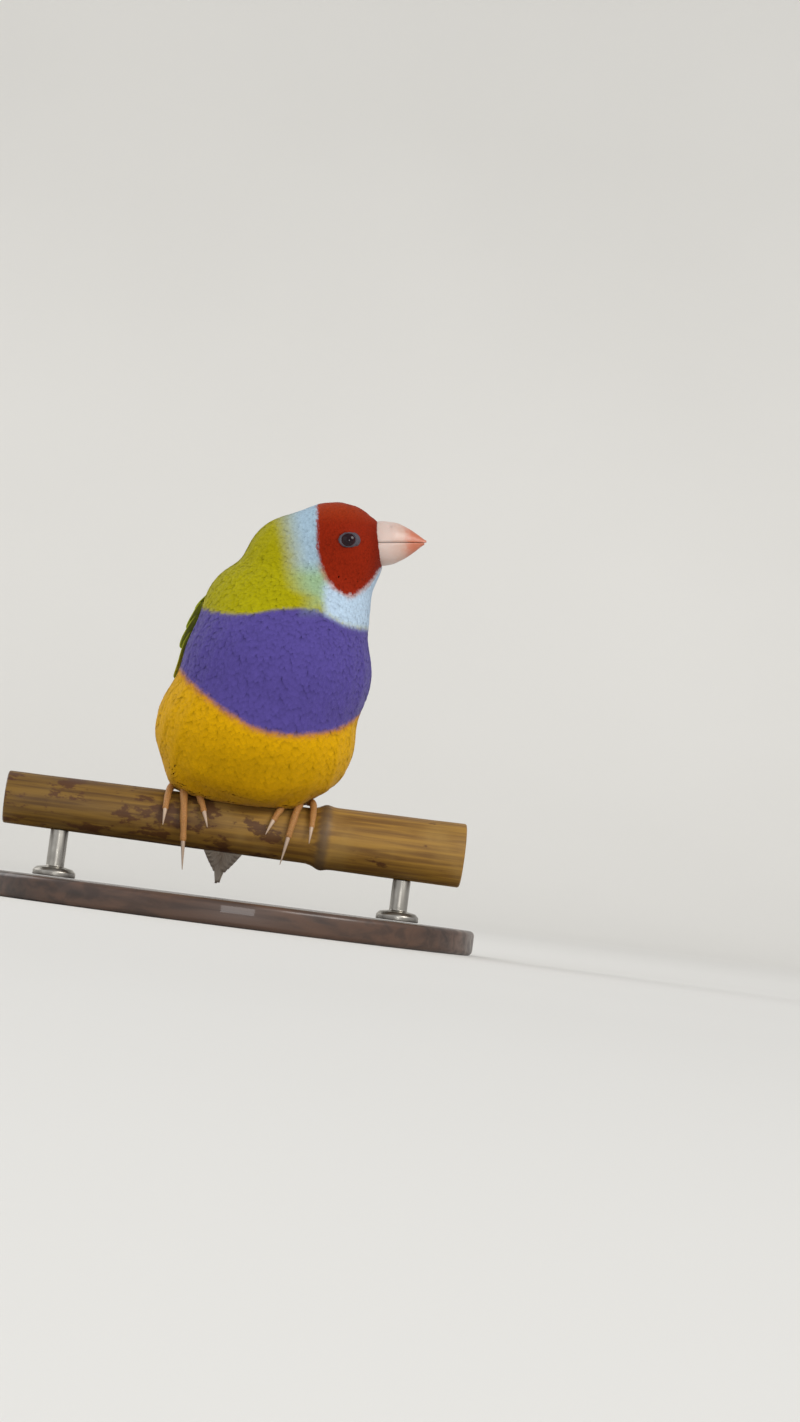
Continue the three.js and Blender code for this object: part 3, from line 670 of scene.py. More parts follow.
class Tree:
    """A short way to add nodes and join them."""

    def __init__(self, tree):
        self.tree = tree

    def add(self, kind, inputs=None, **settings):
        made = self.tree.nodes.new(kind)
        for name, value in settings.items():
            setattr(made, name, value)
        for socket, value in (inputs or {}).items():
            if isinstance(value, bpy.types.NodeSocket):
                self.tree.links.new(value, made.inputs[socket])
            else:
                made.inputs[socket].default_value = value
        return made

    def math(self, operation, a, b=0.0, c=0.0):
        return self.add("ShaderNodeMath", {0: a, 1: b, 2: c}, operation=operation).outputs[0]

    def mix(self, factor, a, b, blend="MIX"):
        made = self.add("ShaderNodeMix", {0: factor, 6: a, 7: b}, data_type="RGBA", blend_type=blend)
        return made.outputs[2]

    def ramp(self, value, low, high, to_low=0.0, to_high=1.0):
        inputs = {"Value": value, "From Min": low, "From Max": high, "To Min": to_low, "To Max": to_high}
        return self.add("ShaderNodeMapRange", inputs, interpolation_type="SMOOTHSTEP").outputs["Result"]

    def place(self):
        return self.add("ShaderNodeTexCoord").outputs["Object"]

    def stretched(self, place, scale):
        return self.add("ShaderNodeMapping", {"Vector": place, "Scale": scale}).outputs[0]

    def noise(self, place, scale, detail=2.0, **inputs):
        inputs = {"Vector": place, "Scale": scale, "Detail": detail, **inputs}
        return self.add("ShaderNodeTexNoise", inputs).outputs["Fac"]

    def plumage(self):
        """The marking's colour, which every feather carries."""
        return self.add("ShaderNodeAttribute", attribute_name="plumage").outputs["Color"]

    def shaded(self, colour, share):
        """A colour made lighter or darker by a share of it."""
        grey = self.add("ShaderNodeCombineColor", {0: share, 1: share, 2: share}).outputs[0]
        return self.mix(1.0, colour, grey, "MULTIPLY")

    def toned(self, colour, broad, fine, broad_size=200.0, fine_size=2500.0):
        """A colour with the unevenness of the Tone group."""
        inputs = {
            "Color": colour, "Broad": broad, "Broad Size": broad_size, "Fine": fine, "Fine Size": fine_size,
        }
        return self.use(tone_group(), inputs)["Color"]

    def use(self, tree, inputs):
        """The outputs of a node group placed with its own values."""
        return self.add("ShaderNodeGroup", inputs, node_tree=tree).outputs


def group(name, inputs, outputs):
    """A new node group with named sockets, its tree helper, and its input sockets."""
    tree = bpy.data.node_groups.new(name, "ShaderNodeTree")
    for label, kind, value in inputs:
        socket = tree.interface.new_socket(label, in_out="INPUT", socket_type=kind)
        socket.default_value = value
    for label, kind in outputs:
        tree.interface.new_socket(label, in_out="OUTPUT", socket_type=kind)
    made = Tree(tree)
    start = made.add("NodeGroupInput")
    end = made.add("NodeGroupOutput")
    return made, start.outputs, end.inputs


def tone_group():
    """Soft unevenness of a colour over the surface: broad clouds and a fine grain."""
    if "Tone" in bpy.data.node_groups:
        return bpy.data.node_groups["Tone"]
    inputs = [
        ("Color", COLOUR, (1, 1, 1, 1)),
        ("Broad", NUMBER, 0.1),
        ("Broad Size", NUMBER, 200.0),
        ("Fine", NUMBER, 0.1),
        ("Fine Size", NUMBER, 2500.0),
    ]
    t, given, out = group("Tone", inputs, [("Color", COLOUR)])
    place = t.place()
    broad = t.noise(place, given["Broad Size"], 3.0)
    fine = t.noise(place, given["Fine Size"])
    broad_lift = t.math("MULTIPLY", t.math("SUBTRACT", broad, 0.5), given["Broad"])
    fine_lift = t.math("MULTIPLY", t.math("SUBTRACT", fine, 0.5), given["Fine"])
    value = t.math("MULTIPLY_ADD", broad_lift, 2.0, 1.0)
    value = t.math("MULTIPLY_ADD", fine_lift, 2.0, value)
    toned = t.add("ShaderNodeHueSaturation", {"Color": given["Color"], "Value": value})
    t.tree.links.new(toned.outputs["Color"], out["Color"])
    return t.tree


def barb_group():
    """The barbs of a feather, slanting from its shaft, read from the Vane map."""
    if "Barbs" in bpy.data.node_groups:
        return bpy.data.node_groups["Barbs"]
    inputs = [("Count", NUMBER, 14.0), ("Slant", NUMBER, 0.7), ("Shaft Width", NUMBER, 0.05)]
    outputs = [("Height", NUMBER), ("Shaft", NUMBER), ("Tip", NUMBER), ("Edge", NUMBER)]
    t, given, out = group("Barbs", inputs, outputs)
    place = t.add("ShaderNodeUVMap", uv_map="Vane").outputs["UV"]
    split = t.add("ShaderNodeSeparateXYZ", {"Vector": place}).outputs
    across = t.math("ABSOLUTE", t.math("MULTIPLY_ADD", split["X"], 2.0, -1.0))
    lean = t.math("MULTIPLY", across, t.math("MULTIPLY", given["Slant"], 0.3))
    slanted = t.math("SUBTRACT", split["Y"], lean)
    wave = t.math("SINE", t.math("MULTIPLY", t.math("MULTIPLY", slanted, given["Count"]), 2 * math.pi))
    lines = t.math("MULTIPLY_ADD", wave, 0.5, 0.5)
    shaft = t.ramp(across, t.math("MULTIPLY", given["Shaft Width"], 0.4), given["Shaft Width"], 1.0, 0.0)
    t.tree.links.new(t.math("MAXIMUM", lines, t.math("MULTIPLY", shaft, 1.6)), out["Height"])
    t.tree.links.new(shaft, out["Shaft"])
    t.tree.links.new(split["Y"], out["Tip"])
    t.tree.links.new(across, out["Edge"])
    return t.tree


def new_material(name):
    """An empty material, and a helper for its tree."""
    material = bpy.data.materials.new(name)
    material.use_nodes = True
    material.node_tree.nodes.clear()
    return material, Tree(material.node_tree)


def surface_shader(t, colour, height, depth, **settings):
    """The Principled shader at the end of a material, with a height bumped by a depth in millimetres."""
    output = t.add("ShaderNodeOutputMaterial")
    shader = t.add("ShaderNodeBsdfPrincipled", settings)
    t.tree.links.new(colour, shader.inputs["Base Color"])
    bump = t.add("ShaderNodeBump", {"Strength": 1.0, "Distance": depth * MM, "Height": height})
    t.tree.links.new(bump.outputs["Normal"], shader.inputs["Normal"])
    t.tree.links.new(shader.outputs[0], output.inputs[0])
    return shader


def set_constants(shader, constants):
    """Sets a shader's own sockets by their names."""
    for socket, value in constants.items():
        shader.inputs[socket].default_value = value


def plumage_material(name, barbs=9.0, depth=0.035, sheen=0.06):
    """Feathers: the marking's colour with painted shade, deepest at each feather's root and in the grooves
    between its fine barbs, a little lighter at each tip, and a soft sheen.
    """
    material, t = new_material(name)
    lines = t.use(barb_group(), {"Count": barbs, "Shaft Width": 0.08})
    toned = t.toned(t.plumage(), 0.05, 0.06)
    # Painted shade, deepest at each feather's root where the feathers over it shade it, and a little painted
    # light at its tip.
    shade = t.ramp(lines["Tip"], 0.2, 1.0, 0.74, 1.06)
    # Painted shade in the grooves between the barbs.
    shade = t.math("MULTIPLY", shade, t.ramp(lines["Height"], 0.0, 1.0, 0.95, 1.03))
    shader = surface_shader(t, t.shaded(toned, shade), lines["Height"], depth, Roughness=0.68)
    set_constants(shader, {"Sheen Weight": sheen, "Sheen Roughness": 0.45, "Specular IOR Level": 0.06})
    return material


def skin_material():
    """Skin under the coat, in the coat's own markings, as down shows it, darkened as painted shade
    under the coat.
    """
    material, t = new_material("down")
    toned = t.toned(t.plumage(), 0.08, 0.15, fine_size=4000.0)
    fluff = t.noise(t.place(), 3500.0, 4.0)
    # Painted shade: the skin is darkened by a fifth, as it lies in the coat's shade.
    dark = t.mix(1.0, toned, (0.8, 0.8, 0.8, 1), "MULTIPLY")
    surface_shader(t, dark, fluff, 0.12, Roughness=0.85)
    return material


def vane_material(name, edge, roughness=0.5):
    """A flight or tail feather: barbs with painted shade in the grooves between them, a paler shaft and a rim
    of another colour along its edges. A rim lighter than the vane, as on the coverts, is painted light.
    """
    material, t = new_material(name)
    lines = t.use(barb_group(), {"Count": 60.0, "Slant": 0.5, "Shaft Width": 0.07})
    toned = t.toned(t.plumage(), 0.08, 0.08)
    rimmed = t.mix(t.ramp(lines["Edge"], 0.62, 0.98), toned, (*edge, 1))
    # Painted shade in the grooves between the barbs.
    lined = t.shaded(rimmed, t.ramp(lines["Height"], 0.0, 1.0, 0.93, 1.04))
    shafted = t.mix(t.math("MULTIPLY", lines["Shaft"], 0.35), lined, (0.45, 0.4, 0.33, 1))
    shader = surface_shader(t, shafted, lines["Height"], 0.03, Roughness=roughness)
    set_constants(shader, {"Sheen Weight": 0.12, "Specular IOR Level": 0.35})
    return material


def bill_material(colours):
    """Pale pink horn, whiter at its base and coral at its tip, with growth lines along it."""
    material, t = new_material("horn_of_bill")
    place = t.place()
    root = tuple(to_frame(at_head(*BILL_ROOT)))
    off = t.add("ShaderNodeVectorMath", {0: place, 1: root}, operation="SUBTRACT").outputs[0]
    along = t.add("ShaderNodeVectorMath", {0: off, 1: tuple(FORWARD)}, operation="DOT_PRODUCT")
    millimetres = t.math("DIVIDE", along.outputs["Value"], MM)
    wave = t.noise(place, 700.0, 3.0)
    reached = t.math("ADD", millimetres, t.math("MULTIPLY_ADD", wave, 2.4, -1.2))
    horn = t.mix(t.ramp(reached, 1.0, 6.2), (*colours.bill_base, 1), (*colours.bill_middle, 1))
    horn = t.mix(t.ramp(reached, 4.6, 7.6), horn, (*colours.bill_tip, 1))
    horn = t.toned(horn, 0.05, 0.03, broad_size=500.0)
    turned = t.add("ShaderNodeMapping", {"Vector": place, "Rotation": (0, HEAD_LIFT, HEAD_TURN)})
    turned.inputs["Scale"].default_value = (0.12, 1.0, 1.0)
    grain = t.noise(turned.outputs[0], 4200.0, 3.0)
    shader = surface_shader(t, horn, grain, 0.02, Roughness=0.36)
    set_constants(shader, {"Subsurface Weight": 0.2, "Subsurface Scale": 1.0})
    shader.inputs["Subsurface Radius"].default_value = (0.0012, 0.0007, 0.0005)
    return material


def eye_material(side):
    """A dark brown iris round a black pupil, under a wet gloss."""
    material, t = new_material(f"eye_{side}")
    place = t.place()
    centre = tuple(to_frame(at_head(EYE_FORWARD, SIDES[side] * EYE_SIDE, EYE_UP)))
    off = t.add("ShaderNodeVectorMath", {0: place, 1: centre}, operation="SUBTRACT").outputs[0]
    facing = t.add("ShaderNodeVectorMath", {0: off, 1: tuple(LEFT * SIDES[side])}, operation="DOT_PRODUCT")
    outward = t.math("DIVIDE", facing.outputs["Value"], EYE_RADIUS * MM)
    strands = t.noise(place, 3000.0)
    iris = t.mix(strands, (0.022, 0.006, 0.008, 1), (0.05, 0.014, 0.014, 1))
    colour = t.mix(t.ramp(outward, 0.83, 0.87), iris, (0.012, 0.003, 0.006, 1))
    shader = surface_shader(t, colour, strands, 0.003, Roughness=0.05)
    set_constants(shader, {"Specular IOR Level": 0.22})
    return material


def scaly_material(name, pale, deep, size, depth):
    """Bare skin with small scales: paler on the plates, with painted shade deeper in the creases."""
    material, t = new_material(name)
    cells = t.add("ShaderNodeTexVoronoi", {"Vector": t.place(), "Scale": size}, feature="DISTANCE_TO_EDGE")
    # Painted shade in the creases between the plates.
    crease = t.ramp(cells.outputs["Distance"], 0.0, 0.12, 1.0, 0.0)
    colour = t.mix(t.math("MULTIPLY", crease, 0.55), (*pale, 1), (*deep, 1))
    colour = t.toned(colour, 0.12, 0.06, broad_size=400.0)
    raised = t.ramp(cells.outputs["Distance"], 0.0, 0.2)
    shader = surface_shader(t, colour, raised, depth, Roughness=0.5)
    set_constants(shader, {"Subsurface Weight": 0.12, "Subsurface Scale": 1.0})
    shader.inputs["Subsurface Radius"].default_value = (0.001, 0.0005, 0.0003)
    return material


def claw_material(colours):
    """Grey-brown horn, darker towards the point."""
    material, t = new_material("horn_of_claws")
    place = t.place()
    height = t.add("ShaderNodeSeparateXYZ", {"Vector": place}).outputs["Z"]
    low = t.ramp(height, float(PERCH_TOP[2] - 16 * MM), float(PERCH_TOP[2]), 1.0, 0.0)
    horn = t.mix(low, (*colours.claw, 1), (*(np.array(colours.claw) * 0.72), 1))
    toned = t.toned(horn, 0.1, 0.05, broad_size=900.0)
    surface_shader(t, toned, t.noise(place, 5000.0), 0.015, Roughness=0.38)
    return material


def bamboo_material(colours):
    """A weathered culm, darker towards -X and lighter towards +X as painted shade and light: streaks along
    it, a scarred node ring, and dark blotches.
    """
    material, t = new_material("culm_skin")
    place = t.place()
    along = t.add("ShaderNodeSeparateXYZ", {"Vector": place}).outputs["X"]
    streak = t.noise(t.stretched(place, (0.05, 1.0, 1.0)), 900.0, 5.0)
    cloud = t.noise(place, 70.0, 4.0)
    base = t.mix(t.ramp(streak, 0.3, 0.7), (*colours.bamboo_deep, 1), (*colours.bamboo, 1))
    base = t.mix(t.ramp(cloud, 0.45, 0.75, 0.0, 0.5), base, (*colours.bamboo_pale, 1))
    # Painted shade and light: darker towards -X and lighter towards +X, as the light falls from the +X side.
    base = t.shaded(base, t.ramp(along, -0.05, 0.03, 0.62, 1.12))
    spots = t.noise(t.stretched(place, (0.5, 1.0, 1.0)), 210.0, 6.0, Roughness=0.62)
    more = t.ramp(along, 0.008, 0.024, 0.08, -0.02)
    blotch = t.ramp(t.math("ADD", spots, more), 0.6, 0.66)
    marked = t.mix(t.math("MULTIPLY", blotch, 0.85), base, (*colours.blotch, 1))
    from_ring = t.math("ABSOLUTE", t.math("SUBTRACT", along, RING_X * MM))
    ring = t.ramp(from_ring, 0.0004, 0.0022, 1.0, 0.0)
    ringed = t.mix(t.math("MULTIPLY", ring, 0.7), marked, (*colours.ring, 1))
    height = t.math("ADD", t.math("MULTIPLY", streak, 0.7), t.math("MULTIPLY", spots, 0.3))
    shader = surface_shader(t, ringed, height, 0.12)
    set_constants(shader, {"Specular IOR Level": 0.3})
    t.tree.links.new(t.ramp(cloud, 0.3, 0.7, 0.42, 0.62), shader.inputs["Roughness"])
    return material


def wood_material(colours):
    """Dark waxed wood, with grain along the base's length."""
    material, t = new_material("waxed_wood")
    along = t.stretched(t.place(), (0.06, 1.0, 1.0))
    grain = t.noise(along, 420.0, 6.0, Distortion=0.4)
    bands = t.noise(along, 60.0, Distortion=1.5)
    light = tuple(np.array(colours.wood) * 1.9)
    colour = t.mix(t.ramp(bands, 0.35, 0.65), (*colours.wood, 1), (*light, 1))
    colour = t.shaded(colour, t.ramp(grain, 0.35, 0.6, 0.55, 1.0))
    shader = surface_shader(t, colour, grain, 0.05)
    set_constants(shader, {"Coat Weight": 0.25})
    t.tree.links.new(t.ramp(grain, 0.3, 0.7, 0.5, 0.34), shader.inputs["Roughness"])
    return material


def metal_material(colours):
    """Turned steel with fine rings round it and a few dull patches."""
    material, t = new_material("rod_steel")
    place = t.place()
    rings = t.noise(t.stretched(place, (0.08, 0.08, 1.0)), 6000.0)
    patches = t.noise(place, 300.0, 4.0)
    colour = t.mix(t.ramp(patches, 0.35, 0.7, 0.0, 0.35), (*colours.metal, 1), (0.2, 0.19, 0.17, 1))
    shader = surface_shader(t, colour, rings, 0.006, Metallic=1.0)
    t.tree.links.new(t.ramp(patches, 0.3, 0.7, 0.26, 0.42), shader.inputs["Roughness"])
    return material


def paper_material():
    """Matt pale paper for the floor and the backdrop."""
    material, t = new_material("studio_paper")
    cloud = t.noise(t.place(), 3.0)
    colour = t.mix(cloud, (0.70, 0.69, 0.66, 1), (0.74, 0.73, 0.70, 1))
    surface_shader(t, colour, cloud, 0.01, Roughness=0.9)
    return material


# Contour feathers

BLADE_PLACES = (0.0, 0.25, 0.55, 0.8, 1.0)
BLADE_WIDTHS = (0.35, 0.85, 1.0, 0.84, 0.42)
SECTION = ((-1.0, 0.0), (-0.5, 0.72), (0.0, 1.0), (0.5, 0.72), (1.0, 0.0), (0.0, -0.9))


def feather_pattern(barbs):
    """A feather of unit size: for each vertex its share along, its place across and its height over the
    blade, with its triangles. A low ridged blade ends in a fringe of slim barbs."""
    along, across, height, faces = [], [], [], []
    for place, width in zip(BLADE_PLACES, BLADE_WIDTHS):
        for side, rise in SECTION:
            along.append(place - 0.1 * side * side * (place > 0.9))
            across.append(side * width)
            height.append(rise)
    count = len(SECTION)
    for row in range(len(BLADE_PLACES) - 1):
        for column in range(count):
            here = row * count + column
            beside = row * count + (column + 1) % count
            faces += [(here, here + count, beside), (beside, here + count, beside + count)]
    last = (len(BLADE_PLACES) - 1) * count
    for corner in range(1, count - 1):
        faces += [(0, corner, corner + 1), (last, last + corner + 1, last + corner)]
    for place in np.linspace(-0.82, 0.82, barbs):
        start = len(along)
        base = 0.66 - 0.1 * place * place
        slim = 0.9 / barbs
        along += [base, base, base, 1.12 - 0.22 * place * place]
        across += [place * 0.86 - slim, place * 0.86 + slim, place * 0.86, place * 0.98]
        height += [0.25, 0.25, 1.15, 0.55]
        faces += [(start, start + 3, start + 2), (start + 2, start + 3, start + 1)]
        faces += [(start + 1, start + 3, start), (start, start + 2, start + 1)]
    return np.array(along), np.array(across), np.array(height), np.array(faces)


def tuft_pattern():
    """A tiny feather for the face: a slim ridged blade of three edges."""
    along = [0, 0, 0, 0.45, 0.45, 0.45, 0.8, 0.8, 0.8, 1.0]
    across = [-0.5, 0, 0.5, -1, 0, 1, -0.7, 0, 0.7, 0]
    height = [0, 1, 0, 0, 1, 0, 0, 0.9, 0, 0.2]
    faces = [(0, 1, 2)]
    for row in (0, 3):
        for a, b in ((0, 1), (1, 2), (2, 0)):
            faces += [(row + a, row + a + 3, row + b), (row + b, row + a + 3, row + b + 3)]
    faces += [(6, 9, 7), (7, 9, 8), (8, 9, 6)]
    return np.array(along, float), np.array(across, float), np.array(height, float), np.array(faces)


def lie(points, normals):
    """The way that feathers point: back from the bill over the head, then along the body to the tail, and
    round the eyes."""
    _, share, heading = round_body(points)
    bill = at_head(12.5, 0, 0.0)
    from_bill = unit(points - bill)
    on_head = ease(share, 0.62, 0.74)[:, None]
    way = lerp(-heading, from_bill, on_head)
    forward, _, up = in_head(points)
    near = (1 - ease(from_eye(points), 2.0, 4.4))[:, None] * on_head
    away = at_head(forward - EYE_FORWARD, 0, up - EYE_UP, origin=0.0)
    way = way + 1.1 * near * unit(away)
    return unit(way - normals * dots(way, normals)[:, None])


FACE_SIZES = [(0, 0.95), (3.5, 1.15), (8, 1.5), (13, 1.9), (18, 2.5)]
BODY_SIZES = [(0.0, 6.5), (0.12, 5.2), (0.24, 4.4), (0.4, 4.0), (0.55, 3.5), (0.64, 3.0), (0.72, 2.4)]


def feather_length(points):
    """The feathers' length: shortest at the bill, longest over the tail's root."""
    _, share, _ = round_body(points)
    from_bill = np.linalg.norm(points - at_head(11.5, 0, 0), axis=1)
    face = profile(FACE_SIZES, from_bill)
    body = profile(BODY_SIZES, share)
    length = lerp(body, np.minimum(face, body), ease(share, 0.62, 0.74))
    return length * (1 - 0.45 * (1 - ease(from_eye(points), 2.1, 3.4)) * ease(share, 0.74, 0.8))


def coat_depth(points):
    """How far the skin lies under the coat's outer form."""
    depth = 0.1 + 0.22 * feather_length(points)
    return np.minimum(depth, 0.95)


# How many places are tried for each that could be kept
DRAWS = 7


def scatter(surface, spacing, random, keep):
    """Places on the surface, no two nearer than the spacing there."""
    gap = spacing(surface.centres)
    weight = surface.areas / gap**2 * keep(surface.centres)
    picked = random.choice(len(weight), int(weight.sum() * DRAWS), p=weight / weight.sum())
    corners = np.array([surface.places[surface.faces[i][:4]] for i in picked])
    across, along = random.random((2, len(picked), 1))
    near_edge = lerp(corners[:, 0], corners[:, 1], across)
    far_edge = lerp(corners[:, 3 % corners.shape[1]], corners[:, 2], across)
    points = lerp(near_edge, far_edge, along)
    gap = spacing(points)
    tree = KDTree(len(points))
    for i, point in enumerate(points):
        tree.insert(point, i)
    tree.balance()
    free = np.ones(len(points), bool)
    kept = []
    for i, point in enumerate(points):
        if free[i]:
            kept.append(i)
            for _, other, _ in tree.find_range(point, gap[i]):
                free[other] = False
    return points[kept]


# How a feather lies: its random swing in degrees, how far its root is buried and its tip pressed down, how
# quickly it comes up from the skin, and how far its normals lean across and along it
SWING = 5
ROOT_BURIED = 0.12
TIP_PRESSED = 0.03
RISE_POWER = 2.6
LEAN_ACROSS, LEAN_ALONG = 0.3, 0.16


def lay_feathers(surface, roots, pattern, lengths, widths, depths, lifts, random, crown):
    """The vertices of feathers that leave the skin at their roots and follow the surface to their tips."""
    along, across, height, _ = pattern
    reach = along.max()
    stops = np.linspace(0, reach, 5)
    places, normals = surface.settle(roots)
    swing = np.radians(random.normal(0, SWING, len(roots)))[:, None]
    centre, outward, sideways = [places], [normals], []
    for step in np.diff(stops):
        way = lie(places, normals)
        side = np.cross(way, normals)
        way = way * np.cos(swing) + side * np.sin(swing)
        sideways.append(np.cross(normals, way))
        places, normals = surface.settle(places + way * (step * lengths)[:, None])
        centre.append(places)
        outward.append(normals)
    sideways.append(sideways[-1])
    centre, outward, sideways = (np.array(part) for part in (centre, outward, sideways))
    position = along / reach * (len(stops) - 1)
    low = np.minimum(position.astype(int), len(stops) - 2)
    share = (position - low)[:, None, None]
    spot = lerp(centre[low], centre[low + 1], share)
    out = unit(lerp(outward[low], outward[low + 1], share))
    side = unit(lerp(sideways[low], sideways[low + 1], share))
    rise = 1 - (1 - np.clip(along, 0, 1)) ** RISE_POWER
    level = -depths[None] - ROOT_BURIED * (1 - rise)[:, None] + (depths + lifts)[None] * rise[:, None]
    level -= TIP_PRESSED * ease(along, 0.8, 1.1)[:, None]
    level += crown * height[:, None] * (widths[None] / 1.2) ** 0.5
    points = spot + side * (across[:, None] * widths[None] / 2)[:, :, None] + out * level[:, :, None]
    way = np.cross(side, out)
    lean = side * (LEAN_ACROSS * across)[:, None, None]
    lean = lean + way * (LEAN_ALONG * (along - 0.7))[:, None, None]
    return np.swapaxes(points, 0, 1), np.swapaxes(unit(out + lean), 0, 1)


def unwrap(points):
    """A flat layout of the body's own form: round the middle line, and along it."""
    angle, share, _ = round_body(points)
    return np.stack([0.02 + 0.96 * (angle + 180) / 360, 0.02 + 0.96 * share], axis=1)


# How wide each feather's patch is on the map of the whole coat
PATCH = 0.003


def feather_object(name, points, normals, pattern, roots, colours):
    """A joined piece from many feathers, with the map of each feather and the map of the whole coat. Their
    normals lean only a little from the body's, so that the coat shades as one soft surface."""
    along, across, _, faces = pattern
    count, each, _ = points.shape
    corners = (faces[None] + (np.arange(count) * each)[:, None, None]).reshape(-1, 3)
    piece = new_object(name, to_frame(points.reshape(-1, 3)), [corners])
    piece.data.normals_split_custom_set_from_vertices(normals.reshape(-1, 3))
    own = np.stack([across * 0.5 + 0.5, np.clip(along, 0, 1.1)], axis=1)
    add_map(piece, "OFBake", (unwrap(roots)[:, None] + (own[None] - 0.5) * PATCH).reshape(-1, 2))
    add_map(piece, "Vane", np.tile(own, (count, 1)))
    add_colours(piece, colours)
    return piece


# Settings that a user would change

def colour_setting(label, about, rgb):
    return FloatVectorProperty(
        name=label, description=about, default=linear(*rgb), size=3, min=0.0, max=1.0, subtype="COLOR"
    )


class FinchColours(bpy.types.PropertyGroup):
    """Colours of the bird, its perch and its stand."""

    mask: colour_setting("Mask", "Red of the cheeks", (134, 32, 6))
    crown: colour_setting("Crown", "Red of the crown", (148, 48, 13))
    collar: colour_setting("Collar", "Pale blue behind the mask", (162, 188, 206))
    collar_low: colour_setting("Collar's foot", "Green-grey where the collar ends", (150, 180, 140))
    throat: colour_setting("Throat", "Pale blue under the chin", (184, 206, 226))
    lime: colour_setting("Neck", "Lime of the neck's sides", (164, 156, 0))
    lime_back: colour_setting("Back", "Lime green of the back and wings", (170, 178, 34))
    breast: colour_setting("Breast", "Violet of the breast", (82, 70, 142))
    belly: colour_setting("Belly", "Yellow of the belly", (212, 160, 0))
    rump: colour_setting("Rump", "Pale blue of the rump", (150, 185, 200))
    vent: colour_setting("Vent", "White under the tail", (226, 222, 208))
    flight: colour_setting("Flight feathers", "Pale grey of the long feathers", (168, 162, 148))
    # Partly painted light: a real silver grey, made lighter to stand in for the light that shines through the
    # tail.
    tail: colour_setting("Tail feathers", "Silver grey of the tail", (236, 230, 216))
    bill_base: colour_setting("Bill base", "Whitish pink horn", (206, 184, 174))
    bill_middle: colour_setting("Bill middle", "Pink horn", (198, 162, 146))
    bill_tip: colour_setting("Bill tip", "Coral horn", (190, 112, 84))
    eye_ring: colour_setting("Eye ring", "Grey-blue skin of the lids", (76, 72, 82))
    toes: colour_setting("Toes", "Flesh of the toes", (176, 124, 64))
    # Painted shade in the creases between the toes' plates.
    toe_crease_shade: colour_setting("Toe creases", "Deeper flesh between the plates", (126, 78, 42))
    rim: colour_setting("Rim", "Warm line along the borders under breast and cheek", (186, 104, 48))
    claw: colour_setting("Claws", "Grey-brown horn", (192, 166, 142))
    bamboo: colour_setting("Bamboo", "Yellow-brown of the culm", (150, 112, 44))
    bamboo_pale: colour_setting("Bamboo pale", "Paler worn patches", (158, 126, 68))
    bamboo_deep: colour_setting("Bamboo deep", "Deeper streaks", (106, 74, 32))
    blotch: colour_setting("Blotches", "Dark purple-brown blotches", (76, 44, 24))
    ring: colour_setting("Node ring", "Grey-brown scar of the node", (90, 74, 58))
    wood: colour_setting("Base wood", "Dark waxed wood", (62, 42, 30))
    metal: colour_setting("Rods", "Steel", (170, 166, 158))


class FinchCoat(bpy.types.PropertyGroup):
    """How dense the coat is, and how wide and how barbed its feathers are."""

    spacing: FloatProperty(
        name="Spacing", description="Gap between roots, as a share of a feather's length",
        default=0.2, min=0.16, max=0.6, subtype="FACTOR",
    )
    width: FloatProperty(
        name="Width", description="A feather's width, as a share of its length",
        default=0.5, min=0.2, max=1.2, subtype="FACTOR",
    )
    barbs: IntProperty(name="Barbs", description="Barbs in each feather's fringe", default=5, min=0, max=9)
    seed: IntProperty(name="Seed", description="Start of the random draw", default=7, min=0)


# Skin and coat

def skin_depth(points):
    """The skin's depth, with a well round each eye."""
    well = 1 - ease(from_eye(points), 2.0, 2.6)
    on_face = ease(np.abs(in_head(points)[1]), 6, 7.5)
    return coat_depth(points) + 1.3 * well * on_face


class FINCH_OT_skin(bpy.types.Operator):
    """One skin for the head, neck, torso and rump, lying inside them by the coat's depth"""

    bl_idname = "finch.skin"
    bl_label = "Skin"

    def execute(self, context):
        body_form()
        skin = MADE["body_piece"]
        apply_modifier(skin, "DECIMATE", ratio=SKIN_SHARE)
        places = to_bird(vertex_places(skin))
        colours, _ = markings(places, context.scene.finch_colours)
        sunk = places - vertex_normals(skin) * skin_depth(places)[:, None]
        place_vertices(skin, to_frame(sunk))
        apply_modifier(skin, "SMOOTH", factor=0.4, iterations=2)
        bpy.ops.object.shade_smooth()
        add_colours(skin, colours)
        finish_piece(skin, "skin", skin_material(), FLESH)
        return {"FINISHED"}


ZONE_FINISH = {
    "mask": {"barbs": 4.0, "depth": 0.02, "sheen": 0.05},
    "breast": {"sheen": 0.14},
}


# How much wider than its setting a feather is, and how far its ridge stands over its blade
BLADES = {"mask": (1.5, 0.05), "body": (1.0, 0.022)}


def bare(points):
    """Where no feather grows: under the bill's root, over the eyes and beyond the rump."""
    forward, left, up = in_head(points)
    bill = (forward > 10.6) & ((np.hypot(left / 4.3, (up - 0.4) / 5.1) < 1) | (forward > 11.9))
    eye = (from_eye(points) < 1.86) & (np.abs(left) > 5)
    tail = points[:, 1] > 24.2
    return bill | eye | tail


def under_wings(points, normals):
    """Whether a wing covers each place."""
    covered = np.zeros(len(points), bool)
    for side in SIDES:
        piece = copy_nodes([f"wing_{side}"], "wing_cover")
        wing = Surface(piece)
        discard(piece)
        for i, (point, normal) in enumerate(zip(points, normals)):
            start = Vector(point + normal * 5)
            hit = wing.tree.ray_cast(start, Vector(-normal), 6.5)
            covered[i] |= hit[0] is not None
    return covered


def seen_places(surface, roots):
    """Where the uncovered part of each feather lies, near its tip."""
    _, normals = surface.settle(roots)
    places, _ = surface.settle(roots + lie(roots, normals) * (0.8 * feather_length(roots))[:, None])
    return places


def coat_colours(points, colours, wander):
    """The markings at many places, a part at a time."""
    parts = np.array_split(np.arange(len(points)), len(points) // 20000 + 1)
    return np.vstack([markings(points[part], colours, wander[part])[0] for part in parts])


